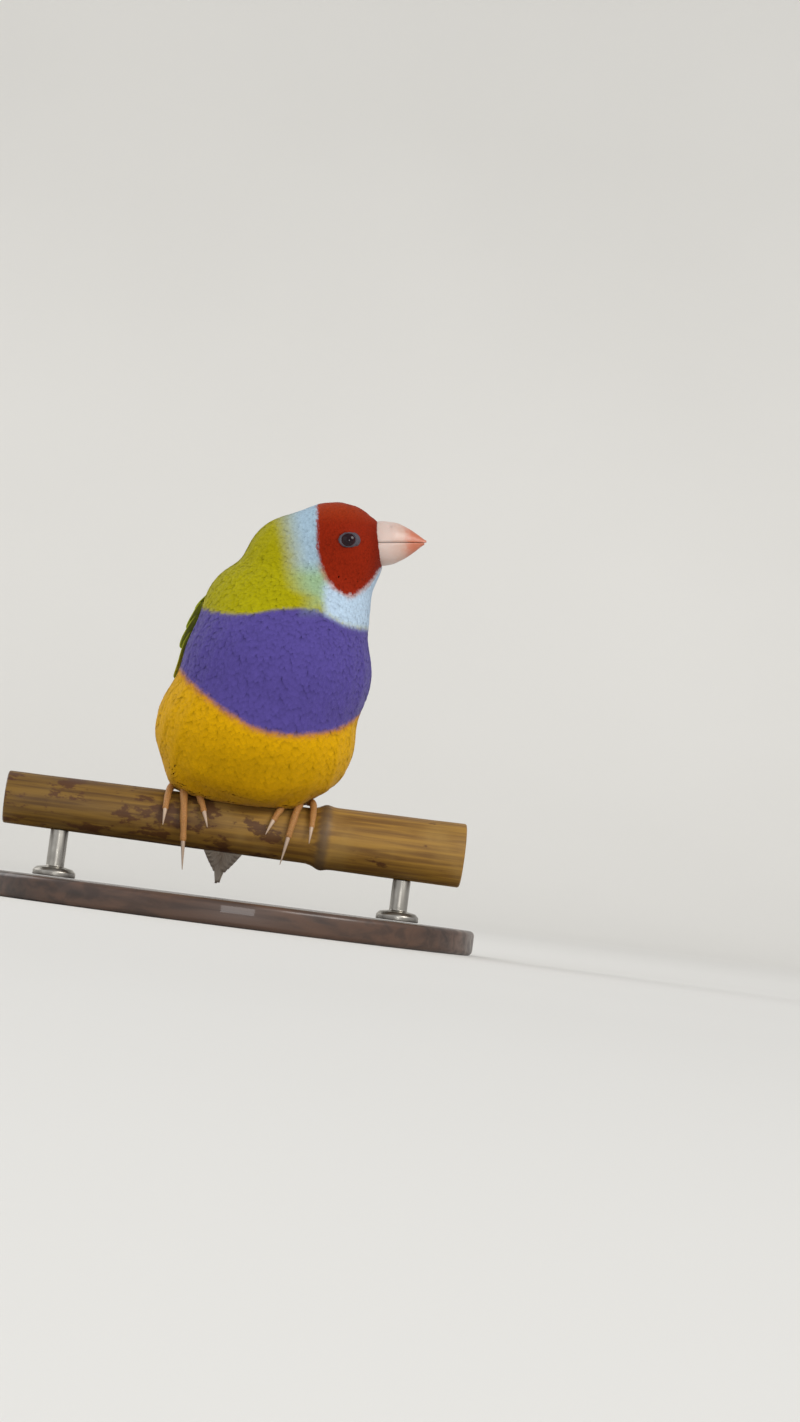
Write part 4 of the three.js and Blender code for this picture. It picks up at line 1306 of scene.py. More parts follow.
def zone_feathers(context, surface, names, label, points, zone, pattern, random):
    coat = context.scene.finch_coat
    chosen = np.isin(zone, [ZONES.index(name) for name in names])
    roots = points[chosen]
    size = feather_length(roots) * random.normal(1, 0.08, len(roots)).clip(0.75, 1.3)
    width = size * coat.width * random.normal(1, 0.08, len(roots)).clip(0.8, 1.25)
    widening, crown = BLADES.get(label, BLADES["body"])
    width *= widening
    depths = coat_depth(roots)
    lifts = random.normal(0.02, 0.01, len(roots))
    laid, normals = lay_feathers(surface, roots, pattern, size, width, depths, lifts, random, crown)
    each = laid.shape[1]
    wander = np.repeat(random.normal(0, 0.12, len(roots)), each)
    colours = coat_colours(laid.reshape(-1, 3), context.scene.finch_colours, wander)
    colours *= np.repeat(random.normal(1, 0.035, (len(roots), 1)).clip(0.9, 1.1), each, axis=0)
    piece = feather_object(f"coat_{label}", laid, normals, pattern, roots, colours)
    finish = ZONE_FINISH.get(names[0], {})
    material = plumage_material(f"feathers_{label}", **finish)
    finish_piece(piece, f"coat_{label}", material)


COAT_PIECES = {
    "mask": ("mask",),
    "collar": ("collar", "throat"),
    "mantle": ("mantle",),
    "breast": ("breast",),
    "belly": ("belly",),
    "rump": ("rump", "vent"),
}


class FINCH_OT_coat(bpy.types.Operator):
    """Small feathers over the whole skin, zone by zone, following the lie of the plumage"""

    bl_idname = "finch.coat"
    bl_label = "Coat"

    def execute(self, context):
        coat = context.scene.finch_coat
        surface = coat_form()
        random = np.random.default_rng(coat.seed)
        points = scatter(
            surface, lambda p: feather_length(p) * coat.spacing, random, lambda p: (~bare(p)).astype(float)
        )
        points = points[~bare(points)]
        places, normals = surface.settle(points)
        points = places[~under_wings(places, normals)]
        _, zone = markings(seen_places(surface, points), context.scene.finch_colours)
        feather = feather_pattern(coat.barbs)
        tuft = tuft_pattern()
        for label, names in COAT_PIECES.items():
            pattern = tuft if label == "mask" else feather
            zone_feathers(context, surface, names, label, points, zone, pattern, random)
        return {"FINISHED"}


# Wings. Each lies over the bed on a chart: a place along the bird's side, an angle from its back, a height.

SIDE_LINE = spline(
    [
        (5.6, -2, 47), (4, 1.5, 35), (1.6, 7.5, 22), (-0.5, 15.5, 11), (-1.5, 23.5, 3.5), (-1.9, 33, -4.2),
        (-2.2, 43, -12.6),
    ],
    240,
)
SIDE_LENGTHS = np.concatenate([[0], np.cumsum(np.linalg.norm(np.diff(SIDE_LINE, axis=0), axis=1))])
SIDE_HEADING = unit(np.gradient(SIDE_LINE, axis=0))
UPPER_EDGE = [(0, 48), (10, 30), (25, 13), (40, 8), (52, 8), (64, 10)]
LOWER_EDGE = [(0, 68), (3, 84), (8, 92), (18, 95), (30, 92), (40, 84), (50, 68), (58, 52), (64, 34)]
# Degrees by which each wing's lower edge is drawn up towards the back, for the bird's left and its right
LOWER_TUCK = {1: 11, -1: 4}
WING_SEED = 20


def on_side_line(values, along):
    return np.stack([np.interp(along, SIDE_LENGTHS, values[:, axis]) for axis in range(3)], axis=-1)


def chart(side, along, angle):
    """For places on a wing's chart: the inner place, the way out, and how far out the bed lies."""
    along, angle = np.broadcast_arrays(np.atleast_1d(along).astype(float), angle)
    origin = on_side_line(SIDE_LINE, along)
    heading = unit(on_side_line(SIDE_HEADING, along))
    back = np.array([0, 1, 0.55])
    back = unit(back - heading * dots(heading, back)[..., None])
    lateral = unit(np.array([1.0, 0, 0]) - heading * heading[..., :1]) * side
    out = unit(back * np.cos(angle)[..., None] + lateral * np.sin(angle)[..., None])
    radius = wing_bed().reach(origin.reshape(-1, 3), out.reshape(-1, 3)).reshape(along.shape)
    return origin, out, radius


def across_wing(side, along, share):
    lower = rounded_profile(LOWER_EDGE, along, 2) - LOWER_TUCK[side] * ease(along, 34, 20)
    return np.radians(lerp(rounded_profile(UPPER_EDGE, along, 2), lower, share))


SHINGLE = 0.15
VANE_ROWS, VANE_COLUMNS = 16, 8


def wing_vane(side, start, end, shares, width, lifts, point, thickness=0.26):
    """A long feather on the chart. Its lower edge is proud and its upper edge is tucked in."""
    t = (np.linspace(0, 1, VANE_ROWS) ** 0.9)[:, None]
    across = np.linspace(-1, 1, VANE_COLUMNS)[None]
    along = lerp(start, end, t)
    middle = across_wing(side, along, lerp(*shares, t))
    _, _, radius = chart(side, along[:, 0], middle[:, 0])
    rounding = np.sqrt(np.clip(1 - np.clip((t - 1 + point) / point, 0, 1) ** 2.2, 0.012, 1))
    half = np.maximum(0.12, width / 2 * np.minimum(1, 0.6 + 2 * t) * rounding)
    angle = np.maximum(middle + across * half / radius[:, None], 0.8 / radius[:, None])
    origin, out, bed = chart(side, np.broadcast_to(along, angle.shape), angle)
    proud = SHINGLE * (angle - middle) * radius[:, None]
    camber = 0.1 * (1 - across**2)
    shaft = 0.05 * np.exp(-((across + 0.12) / 0.09) ** 2)
    level = bed + lerp(*lifts, t) + proud + camber
    thin = thickness * (1 - 0.45 * across**2) / 2
    top = origin + out * (level + thin + shaft)[..., None]
    bottom = origin + out * (level - thin)[..., None]
    return top, bottom


def vane_rings(top, bottom):
    return np.concatenate([top, bottom[:, ::-1]], axis=1)


def vane_object(name, vanes, colours):
    """A joined piece from vanes, each a closed blade with its own map and colour."""
    points, quads, fans, own, shades = [], [], [], [], []
    count = 0
    for (top, bottom), colour in zip(vanes, colours):
        rows, columns, _ = top.shape
        vane_points, vane_quads, vane_fans = loft(vane_rings(top, bottom))
        v, u = np.meshgrid(np.linspace(0, 1, rows), np.linspace(0, 1, columns), indexing="ij")
        ring = np.concatenate([np.stack([u, v], -1), np.stack([u, v], -1)[:, ::-1]], axis=1).reshape(-1, 2)
        own.append(np.vstack([ring, [0.5, 0], [0.5, 1]]))
        points.append(vane_points)
        quads.append(vane_quads + count)
        fans.append(vane_fans + count)
        shades.append(np.tile(colour, (len(vane_points), 1)))
        count += len(vane_points)
    piece = new_object(name, to_frame(np.vstack(points)), [np.vstack(quads), np.vstack(fans)])
    add_map(piece, "Vane", np.vstack(own))
    add_colours(piece, np.vstack(shades))
    face_outwards(piece)
    return piece


PRIMARY_TIPS = (58.5, 60.6, 62.2, 61.8, 60.4, 58.4, 55.8, 52.6, 49.6)
WING_TIERS = {
    "secondaries": {"count": 7, "start": 18, "ends": (47, 43), "low": (0.82, 0.7), "high": (0.38, 0.3),
                    "width": 4.2, "lifts": (1.3, 2.3), "step": 0.26, "point": 0.2},
    "tertials": {"count": 3, "start": 15, "ends": (43, 30), "low": (0.36, 0.22), "high": (0.18, 0.14),
                 "width": 5.4, "lifts": (1.5, 2.9), "step": 0.35, "point": 0.35},
    "greater": {"count": 10, "start": 12, "ends": (25.5, 26.5), "low": (0.95, 0.92), "high": (0.18, 0.18),
                "width": 3.9, "lifts": (1.3, 2.7), "step": 0.0, "point": 0.4},
    "median": {"count": 9, "start": 7.5, "ends": (17.2, 17.8), "low": (0.95, 0.93), "high": (0.18, 0.18),
               "width": 3.7, "lifts": (1.5, 2.85), "step": 0.0, "point": 0.5},
    "lesser": {"count": 8, "start": 4, "ends": (11.5, 12), "low": (0.95, 0.93), "high": (0.2, 0.2),
               "width": 3.6, "lifts": (1.45, 2.85), "step": 0.0, "point": 0.6},
    "marginal": {"count": 7, "start": 0.4, "ends": (6.4, 7), "low": (0.93, 0.92), "high": (0.22, 0.22),
                 "width": 3.4, "lifts": (0.1, 2.6), "step": 0.0, "point": 0.65},
}
SCAPULARS = 7


def tier_vanes(side, tier, random):
    vanes = []
    for i in range(tier["count"]):
        up = i / (tier["count"] - 1)
        shares = tuple(lerp(low, high, up) for low, high in zip(tier["low"], tier["high"]))
        bow = 1.6 * math.sin(math.pi * up) if tier["step"] == 0 else 0
        end = lerp(*tier["ends"], up) + bow - 0.8 * (bow > 0) + random.normal(0, 0.3)
        lifts = tier["lifts"][0], tier["lifts"][1] + tier["step"] * i + random.normal(0, 0.03)
        width = tier["width"] * random.normal(1, 0.05)
        vanes.append(wing_vane(side, tier["start"], end, shares, width, lifts, tier["point"]))
    return vanes


def scapular_vanes(side, random):
    """Feathers of the back that lie over the wing's upper edge."""
    vanes = []
    for i in range(SCAPULARS):
        down = i / (SCAPULARS - 1)
        start = lerp(0.2, 13, down)
        shares = lerp(-0.02, -0.2, down), lerp(0.34, 0.1, down)
        lifts = 0.1, lerp(3.0, 3.5, down) - 0.12 * i * (i < 3)
        end = start + lerp(6, 11, down) + random.normal(0, 0.3)
        vanes.append(wing_vane(side, start, end, shares, lerp(4.4, 5.4, down), lifts, 0.6))
    return vanes


def primary_vanes(side):
    vanes = []
    last = len(PRIMARY_TIPS) - 1
    for i, tip in enumerate(PRIMARY_TIPS):
        up = i / last
        shares = lerp(0.94, 0.66, up), lerp(0.88, 0.2, up)
        lifts = 1.15 + 0.04 * i, 0.72 + 0.18 * i
        vanes.append(wing_vane(side, 24 + 4 * up, tip, shares, 3.5, lifts, 0.2, thickness=0.24))
    return vanes


def wing_core(side):
    """The arm under the coverts: a low closed form on the bird's side."""
    along = np.linspace(0.6, 40, 40)[:, None]
    share = np.linspace(0.04, 0.96, 14)[None]
    angle = across_wing(side, along, share)
    thickness = profile([(0.5, 0.4), (3, 1.6), (12, 1.7), (20, 1.35), (40, 0.7)], along)
    thickness = thickness * (1 - 0.6 * np.abs(2 * share - 1) ** 3)
    origin, out, bed = chart(side, np.broadcast_to(along, angle.shape), angle)
    top = origin + out * (bed + thickness)[..., None]
    bottom = origin + out * (bed - 0.9)[..., None]
    return top, bottom


class FINCH_OT_wings(bpy.types.Operator):
    """Both folded wings: flight feathers in tiers under four rows of coverts and the feathers of the back"""

    bl_idname = "finch.wings"
    bl_label = "Wings"

    def execute(self, context):
        colours = context.scene.finch_colours
        lime = np.array(colours.lime_back)
        grey = np.array(colours.flight)
        flight = vane_material("flight_vane", tuple(lerp(grey, lime, 0.75)))
        # The coverts' rim, the back's lime made lighter, is painted light on edges that lie in shade.
        covert = vane_material("covert_vane", tuple(lime * 1.35), roughness=0.6)
        for label, side in SIDES.items():
            random = np.random.default_rng(WING_SEED + side)
            long_vanes = primary_vanes(side)
            shades = [grey * random.normal(1, 0.03) for _ in long_vanes]
            for name in ("secondaries", "tertials"):
                vanes = tier_vanes(side, WING_TIERS[name], random)
                long_vanes += vanes
                share = 0.55 if name == "secondaries" else 0.8
                shades += [lerp(grey, lime, share) * random.normal(1, 0.03) for _ in vanes]
            piece = vane_object(f"flight_{label}", long_vanes, shades)
            finish_piece(piece, f"flight_{label}", flight, [f"wing_{label}"])
            coverts, shades = [wing_core(side)], [lime]
            for name in ("greater", "median", "lesser", "marginal", "scapulars"):
                if name == "scapulars":
                    vanes = scapular_vanes(side, random)
                else:
                    vanes = tier_vanes(side, WING_TIERS[name], random)
                coverts += vanes
                shades += [lime * random.normal(1, 0.04) for _ in vanes]
            piece = vane_object(f"coverts_{label}", coverts, shades)
            finish_piece(piece, f"coverts_{label}", covert)
        return {"FINISHED"}


# Tail: six pairs, the middle pair on top and drawn out to a fine point

FINE_VANE = [(0, 1), (0.5, 1), (0.75, 0.62), (0.9, 0.34), (1, 0.1)]
BLUNT_VANE = [(0, 0.8), (0.3, 1), (0.7, 1), (0.84, 0.82), (0.95, 0.45), (1, 0.12)]
TAIL_SEED = 31


def tail_vane(side, pair):
    """A tail feather on one side. Pair 0 is the middle pair, and the others lie under it in turn."""
    length = TAIL_LENGTH if pair == 0 else 35.4 - 1.9 * pair
    t = (np.linspace(0, 1, 22) ** 0.8)[:, None]
    across = np.linspace(-1, 1, 9)[None]
    along = length * t
    half = 2.5 * rounded_profile(FINE_VANE if pair == 0 else BLUNT_VANE, t, 0.03)
    middle = side * (0.3 + 0.3 * pair + math.radians(0.85 * pair) * along)
    layer = -0.42 * pair - (0 if side > 0 or pair else 0.36)
    place = middle + across * half
    arch = -0.018 * place**2 - 0.15 * side * across * half + 0.08 * (1 - across**2)
    thin = 0.24 * (1 - 0.5 * across**2) / 2
    shaft = 0.06 * np.exp(-((across / 0.1) ** 2))
    along = np.broadcast_to(along, place.shape)
    return at_tail(along, place, layer + arch + thin + shaft), at_tail(along, place, layer + arch - thin)


class FINCH_OT_tail(bpy.types.Operator):
    """Twelve tail feathers in a narrow stack, the middle pair longest"""

    bl_idname = "finch.tail"
    bl_label = "Tail"

    def execute(self, context):
        colours = context.scene.finch_colours
        random = np.random.default_rng(TAIL_SEED)
        # The tail's colour is partly painted light, lightened for the light that shines through its vanes.
        tail = np.array(colours.tail)
        vanes, shades = [], []
        for pair in range(6):
            for side in (-1, 1):
                vanes.append(tail_vane(side, pair))
                shades.append(tail * (1.0 if pair else 0.94) * random.normal(1, 0.02))
        turn = np.linspace(0, np.pi, 9)[None]
        stops = np.array([[0.3, 4, 1.6], [4, 3.8, 1.4], [8, 3.2, 1.1], [12, 2.0, 0.5]])
        along = stops[:, :1] + 0 * turn
        across = -stops[:, 1:2] * np.cos(turn)
        height = stops[:, 2:] * np.sin(turn)
        vanes.append((at_tail(along, across, -1.3 + height), at_tail(along, across, -1.3 - height)))
        shades.append(np.array(colours.vent))
        piece = vane_object("tail_vanes", vanes, shades)
        # The tail's lighter rim is painted light as well.
        material = vane_material("tail_vane", tuple(tail * 1.1))
        finish_piece(piece, "tail_vanes", material, ["tail"])
        return {"FINISHED"}


# Bill: heights over and under the mouth line, and half widths, by distance from the base

BILL_ROOT = (11.4, 0, 0.45)
BILL_SCALE = 10.9 / 10.7
CULMEN = [(-4, 5.2), (0, 5.5), (3.7, 4.9), (6.6, 3.4), (9.3, 1.5), (10.7, 0.3)]
KEEL = [(-4, 4.8), (0, 5.2), (2.7, 4.8), (6, 3.3), (8.8, 1.4), (10.2, 0.25)]
BILL_WIDTHS = [(-4, 4.7), (0, 4.6), (3, 4), (6, 2.7), (9, 1.2), (10.7, 0.22)]
MOUTH_DROP = [(-4, 0.6), (0, 0.4), (6, 0.2), (10.7, 0)]
NOSTRIL = (1.9, 2.4, 3.9)
MOUTH_GAP = 0.07


def mandible(upper):
    """One half of the bill, in rings from its hidden root to its tip, with nostrils above."""
    heights = CULMEN if upper else KEEL
    end = heights[-1][0]
    turn = np.linspace(0, np.pi, 33)
    origin = at_head(*BILL_ROOT)
    rings = []
    for share in np.linspace(0, 1, 44) ** 0.85:
        along = lerp(-2.5, end, share)
        height = max(float(rounded_profile(heights, along, 0.9)) * BILL_SCALE - MOUTH_GAP, 0.12)
        width = float(rounded_profile(BILL_WIDTHS, along, 0.9))
        mouth = -float(profile(MOUTH_DROP, along)) + (MOUTH_GAP if upper else -MOUTH_GAP)
        ridge = 1 + (0.035 if upper else 0.0) * np.exp(-((turn - np.pi / 2) / 0.16) ** 2)
        rise = np.sin(turn) ** 0.92 * height * ridge
        across = np.cos(turn) * width * (1 - 0.05 * np.sin(turn) ** 8)
        up = mouth + (rise if upper else -rise)
        if upper:
            pit = np.hypot(along - NOSTRIL[0], (np.abs(across) - NOSTRIL[1]) * 0.9)
            up = up - 0.55 * np.exp(-((pit / 0.5) ** 4))
        ring = at_head(along, across, up, origin=origin)
        flat = at_head(along, np.cos(turn)[::-1][1:-1] * width * 0.96, mouth, origin=origin)
        rings.append(np.vstack([ring, flat]))
    return rings


class FINCH_OT_bill(bpy.types.Operator):
    """The stout conical bill in its two halves, with nostrils and the line of the mouth"""

    bl_idname = "finch.bill"
    bl_label = "Bill"

    def execute(self, context):
        material = bill_material(context.scene.finch_colours)
        for name, upper in (("bill_upper", True), ("bill_lower", False)):
            piece = loft_object(f"{name}_horn", mandible(upper))
            finish_piece(piece, f"{name}_horn", material, [name])
        return {"FINISHED"}


# Eyes and lids

def eye_rings(side, radii, levels):
    """Rings round an eye's axis at given distances from it and heights out from the head's middle."""
    turn = np.linspace(0, 2 * np.pi, 48, endpoint=False)
    rings = []
    for radius, level in zip(radii, levels):
        outer = ease(radius, 1.5, 2.0)
        wide, tall = lerp(*LID_WIDE, outer), lerp(*LID_TALL, outer)
        forward = EYE_FORWARD + radius * wide * np.cos(turn)
        up = EYE_UP + radius * tall * np.sin(turn)
        rings.append(at_head(forward, side * level, up))
    return np.array(rings)


LID_RADII = (1.5, 1.54, 1.6, 1.66, 1.71, 1.77, 1.83, 1.9, 2.1, 2.4)
LID_LEVELS = (9.3, 9.55, 9.68, 9.7, 9.78, 9.84, 9.83, 9.74, 9.4, 9.0)


class FINCH_OT_eyes(bpy.types.Operator):
    """Dark glossy eyes, each in a ring of bare lids"""

    bl_idname = "finch.eyes"
    bl_label = "Eyes"

    def execute(self, context):
        colours = context.scene.finch_colours
        # Painted shade in the creases between the lids' scales.
        deep = tuple(np.array(colours.eye_ring) * 0.4)
        lids = scaly_material("eye_ring", colours.eye_ring, deep, 5200.0, 0.03)
        for label, side in SIDES.items():
            deselect()
            place = to_frame(at_head(EYE_FORWARD, side * EYE_SIDE, EYE_UP))
            bpy.ops.mesh.primitive_uv_sphere_add(
                radius=EYE_RADIUS * MM, location=place, segments=64, ring_count=48
            )
            ball = bpy.context.view_layer.objects.active
            rest_in_mesh(ball)
            bpy.ops.object.shade_smooth()
            finish_piece(ball, f"eyeball_{label}", eye_material(label), [f"eye_{label}"])
            outer = eye_rings(side, LID_RADII, LID_LEVELS)
            inner = eye_rings(side, LID_RADII, np.array(LID_LEVELS) - 0.5)
            loop = np.concatenate([outer, inner[::-1]])
            rings = np.swapaxes(loop, 0, 1)
            count, each, _ = rings.shape
            row, column = np.meshgrid(np.arange(count), np.arange(each), indexing="ij")
            here = (row * each + column).ravel()
            beside = (row * each + (column + 1) % each).ravel()
            onward = ((row + 1) % count * each + column).ravel()
            across = ((row + 1) % count * each + (column + 1) % each).ravel()
            quads = np.stack([here, beside, across, onward], axis=1)
            piece = new_object(f"lids_{label}", to_frame(rings.reshape(-1, 3)), [quads])
            face_outwards(piece)
            finish_piece(piece, f"lids_{label}", lids)
        return {"FINISHED"}


# Feet. Each toe lies round the perch: an angle from the top of it, and a place along it.

RING_X = 21.5
TOE_RADIUS = 0.9
TOES = {
    "back": {"turn": -1, "reach": 84, "spread": (1, 1.5), "claw": 46, "girth": 1.05},
    "inner": {"turn": 1, "reach": 74, "spread": (1.1, 4.6), "claw": 34, "girth": 0.95},
    "middle": {"turn": 1, "reach": 110, "spread": (0, 0.5), "claw": 6, "girth": 1.0},
    "outer": {"turn": 1, "reach": 78, "spread": (-1.1, -4.8), "claw": 34, "girth": 0.92},
}
FEET = {
    "left": {"x": 15.7, "inward": -1, "skew": -2.2, "middle": 100},
    "right": {"x": -14.1, "inward": 1, "skew": 1.7, "middle": 130},
}


def culm_radius(x):
    joint = np.exp(-(((x - RING_X) / 1.5) ** 2))
    return PERCH_RADIUS + lerp(-0.3, 0.5, ease(x, RING_X - 4, RING_X + 1)) + 0.006 * x + 0.5 * joint


def on_perch(x, angle, lift):
    """Places over the perch: round it up to a quarter turn, then straight down past it."""
    radius = culm_radius(x) + lift
    turn = np.minimum(np.abs(angle), np.pi / 2)
    hang = (np.abs(angle) - turn) * radius
    y = -np.sign(angle) * np.sin(turn) * radius
    return np.stack([x + 0 * radius, y, np.cos(turn) * radius - PERCH_RADIUS - hang], axis=-1)


def toe_path(foot, name, shares, lift):
    toe = TOES[name]
    shares = np.asarray(shares, float)
    spread = lerp(*toe["spread"], np.sqrt(np.clip(shares, 0, None))) * foot["inward"]
    lean = foot["skew"] * shares * (toe["turn"] > 0)
    reach = foot["middle"] if name == "middle" else toe["reach"]
    return on_perch(foot["x"] + spread + lean, toe["turn"] * np.radians(reach) * shares, lift)


PLATES = 15


def toe_piece(label, foot, name):
    """A toe with plates over its top and pads under its joints."""
    girth = TOE_RADIUS * TOES[name]["girth"]
    shares = np.linspace(0, 1, 90)
    path = toe_path(foot, name, shares, 0.28 + girth + 0.35 * (1 - shares) ** 3)

    def radius(step, angles):
        share = shares[step]
        plate = (share * PLATES) % 1
        overlap = 0.07 * plate**2 * (0.5 + 0.5 * np.cos(angles))
        pad = 0.13 * (0.5 - 0.5 * np.cos(angles)) * np.cos(share * 3 * 2 * np.pi)
        tip = np.sqrt(np.clip(1 - max(0, (share - 0.95) / 0.06) ** 2, 0.15, 1))
        return girth * lerp(1.1, 0.84, share) * (1 + overlap + pad) * tip

    return loft_object(f"toe_{label}_{name}", swept_rings(path, 24, radius))


def shank_piece(label, foot):
    """The lower leg, from its sole up into the belly's feathers, with plates down its front."""
    rise = np.linspace(-0.12, 1, 50)
    inward = foot["inward"]
    sole = on_perch(np.array(foot["x"], float), 0.0, TOE_RADIUS + 0.8)
    path = sole + np.stack([-0.2 * inward * rise, 2.2 * rise, 6.2 * rise], axis=-1)

    def radius(step, angles):
        share = max(rise[step], 0)
        plate = (share * 7) % 1
        girth = lerp(1.45, 1.0, float(ease(share, 0, 0.35))) + 0.3 * float(ease(share, 0.6, 1))
        return girth * (1 + 0.06 * plate**2)

    return loft_object(f"shank_{label}", swept_rings(path, 28, radius))


def claw_piece(label, foot, name):
    """A curved claw that tapers from its toe's tip."""
    toe = TOES[name]
    girth = TOE_RADIUS * toe["girth"]
    last = toe_path(foot, name, [0.96, 1], np.full(2, 0.4 + girth))
    heading = unit(last[1] - last[0])
    outward = unit(np.array([0, last[1][1], last[1][2] + PERCH_RADIUS]))
    length = 6.6 if name == "middle" else 3.8
    steps = 30
    point = last[1] - heading * 0.2
    path = []
    for i in range(steps + 1):
        share = i / steps
        path.append(point.copy())
        bend = math.radians(toe["claw"]) * share
        lift = 0.22 * (1 - share) - 0.5 * math.sin(bend) * share
        point = point + unit(heading * math.cos(bend) + outward * lift) * (length + 0.25) / steps

    def radius(step, angles):
        share = step / steps
        return lerp(0.6, 0.1, share**1.1) * (1 - 0.12 * np.abs(np.sin(angles)))

    return loft_object(f"claw_{label}_{name}", swept_rings(path, 16, radius))


class FINCH_OT_feet(bpy.types.Operator):
    """Plated toes and lower legs gripping the perch, with curved claws"""

    bl_idname = "finch.feet"
    bl_label = "Feet"

    def execute(self, context):
        colours = context.scene.finch_colours
        skin = scaly_material("toe_skin", colours.toes, colours.toe_crease_shade, 2600.0, 0.05)
        horn = claw_material(colours)
        for label, foot in FEET.items():
            pieces = [shank_piece(label, foot)] + [toe_piece(label, foot, name) for name in TOES]
            whole = union_of(pieces)
            only(whole)
            bpy.ops.object.shade_smooth()
            finish_piece(whole, f"foot_{label}", skin, [f"leg_{label}"])
            for name in TOES:
                claw = claw_piece(label, foot, name)
                finish_piece(claw, f"claw_{label}_{name}_horn", horn, [f"claw_{label}_{name}"])
        return {"FINISHED"}


# Perch and stand

# The culm's wall at its cut ends, how deep they are hollowed, and how far out the wall's skin begins
CULM_WALL = 0.0036
CULM_HOLLOW = 0.0016
CULM_SKIN = 0.006


def round_edges(piece, width, segments, sharpest):
    """Bevels the edges that turn by more than an angle in degrees."""
    limit = math.radians(sharpest)
    apply_modifier(piece, "BEVEL", width=width, segments=segments, limit_method="ANGLE", angle_limit=limit)


def ring_cuts():
    """Places of the rings that shape the culm, closer together at its node."""
    half = (PERCH_HIGH.x - PERCH_LOW.x) / 2 / MM
    broad = list(np.arange(-half + 4, half - 2, 4.0))
    close = list(RING_X + np.array([-5, -3.4, -2.2, -1.5, -0.9, -0.4, 0.1, 0.6, 1.2, 1.9, 2.8, 4.2]))
    return sorted(x for x in broad if abs(x - RING_X) > 5.5) + close


class FINCH_OT_perch(bpy.types.Operator):
    """A cut length of bamboo with its node ring and hollow ends"""

    bl_idname = "finch.perch"
    bl_label = "Perch"

    def execute(self, context):
        deselect()
        length = PERCH_HIGH.x - PERCH_LOW.x
        bpy.ops.mesh.primitive_cylinder_add(
            vertices=96, radius=PERCH_RADIUS * MM, depth=length, location=PERCH_AXIS,
            rotation=(0, math.pi / 2, 0),
        )
        culm = bpy.context.view_layer.objects.active
        rest_in_mesh(culm)
        bpy.ops.object.mode_set(mode="EDIT")
        for x in ring_cuts():
            bpy.ops.mesh.select_all(action="SELECT")
            bpy.ops.mesh.bisect(plane_co=(x * MM, 0, 0), plane_no=(1, 0, 0))
        select_faces(culm, lambda c: abs(abs(c.x) - length / 2) < 1e-5)
        bpy.ops.mesh.inset(thickness=CULM_WALL)
        select_faces(culm, lambda c: math.hypot(c.y - PERCH_AXIS.y, c.z - PERCH_AXIS.z) < 1e-5)
        bpy.ops.mesh.extrude_region_move()
        bpy.ops.object.mode_set(mode="OBJECT")
        places = vertex_places(culm)
        chosen = np.zeros(len(places), bool)
        culm.data.vertices.foreach_get("select", chosen)
        middle = np.array([0, PERCH_AXIS.y, PERCH_AXIS.z])
        off = places - middle
        wall = np.hypot(off[:, 1], off[:, 2]) > CULM_SKIN
        grown = culm_radius(places[:, 0] / MM) / PERCH_RADIUS
        waver = 1 + 0.006 * np.sin(3 * np.arctan2(off[:, 2], off[:, 1]) + places[:, 0] * 130)
        waver = lerp(waver, 1, ease(np.abs(places[:, 0]), 0.05, 0.053))
        off[:, 1:] *= np.where(wall, grown * np.minimum(waver, 1.0), 1.0)[:, None]
        off[:, 0] -= np.where(chosen, np.sign(off[:, 0]) * CULM_HOLLOW, 0)
        place_vertices(culm, off + middle)
        round_edges(culm, 0.0005, 3, 50)
        bpy.ops.object.shade_smooth_by_angle(angle=math.radians(40))
        material = bamboo_material(context.scene.finch_colours)
        finish_piece(culm, "perch_culm", material, ["stand_perch"])
        return {"FINISHED"}


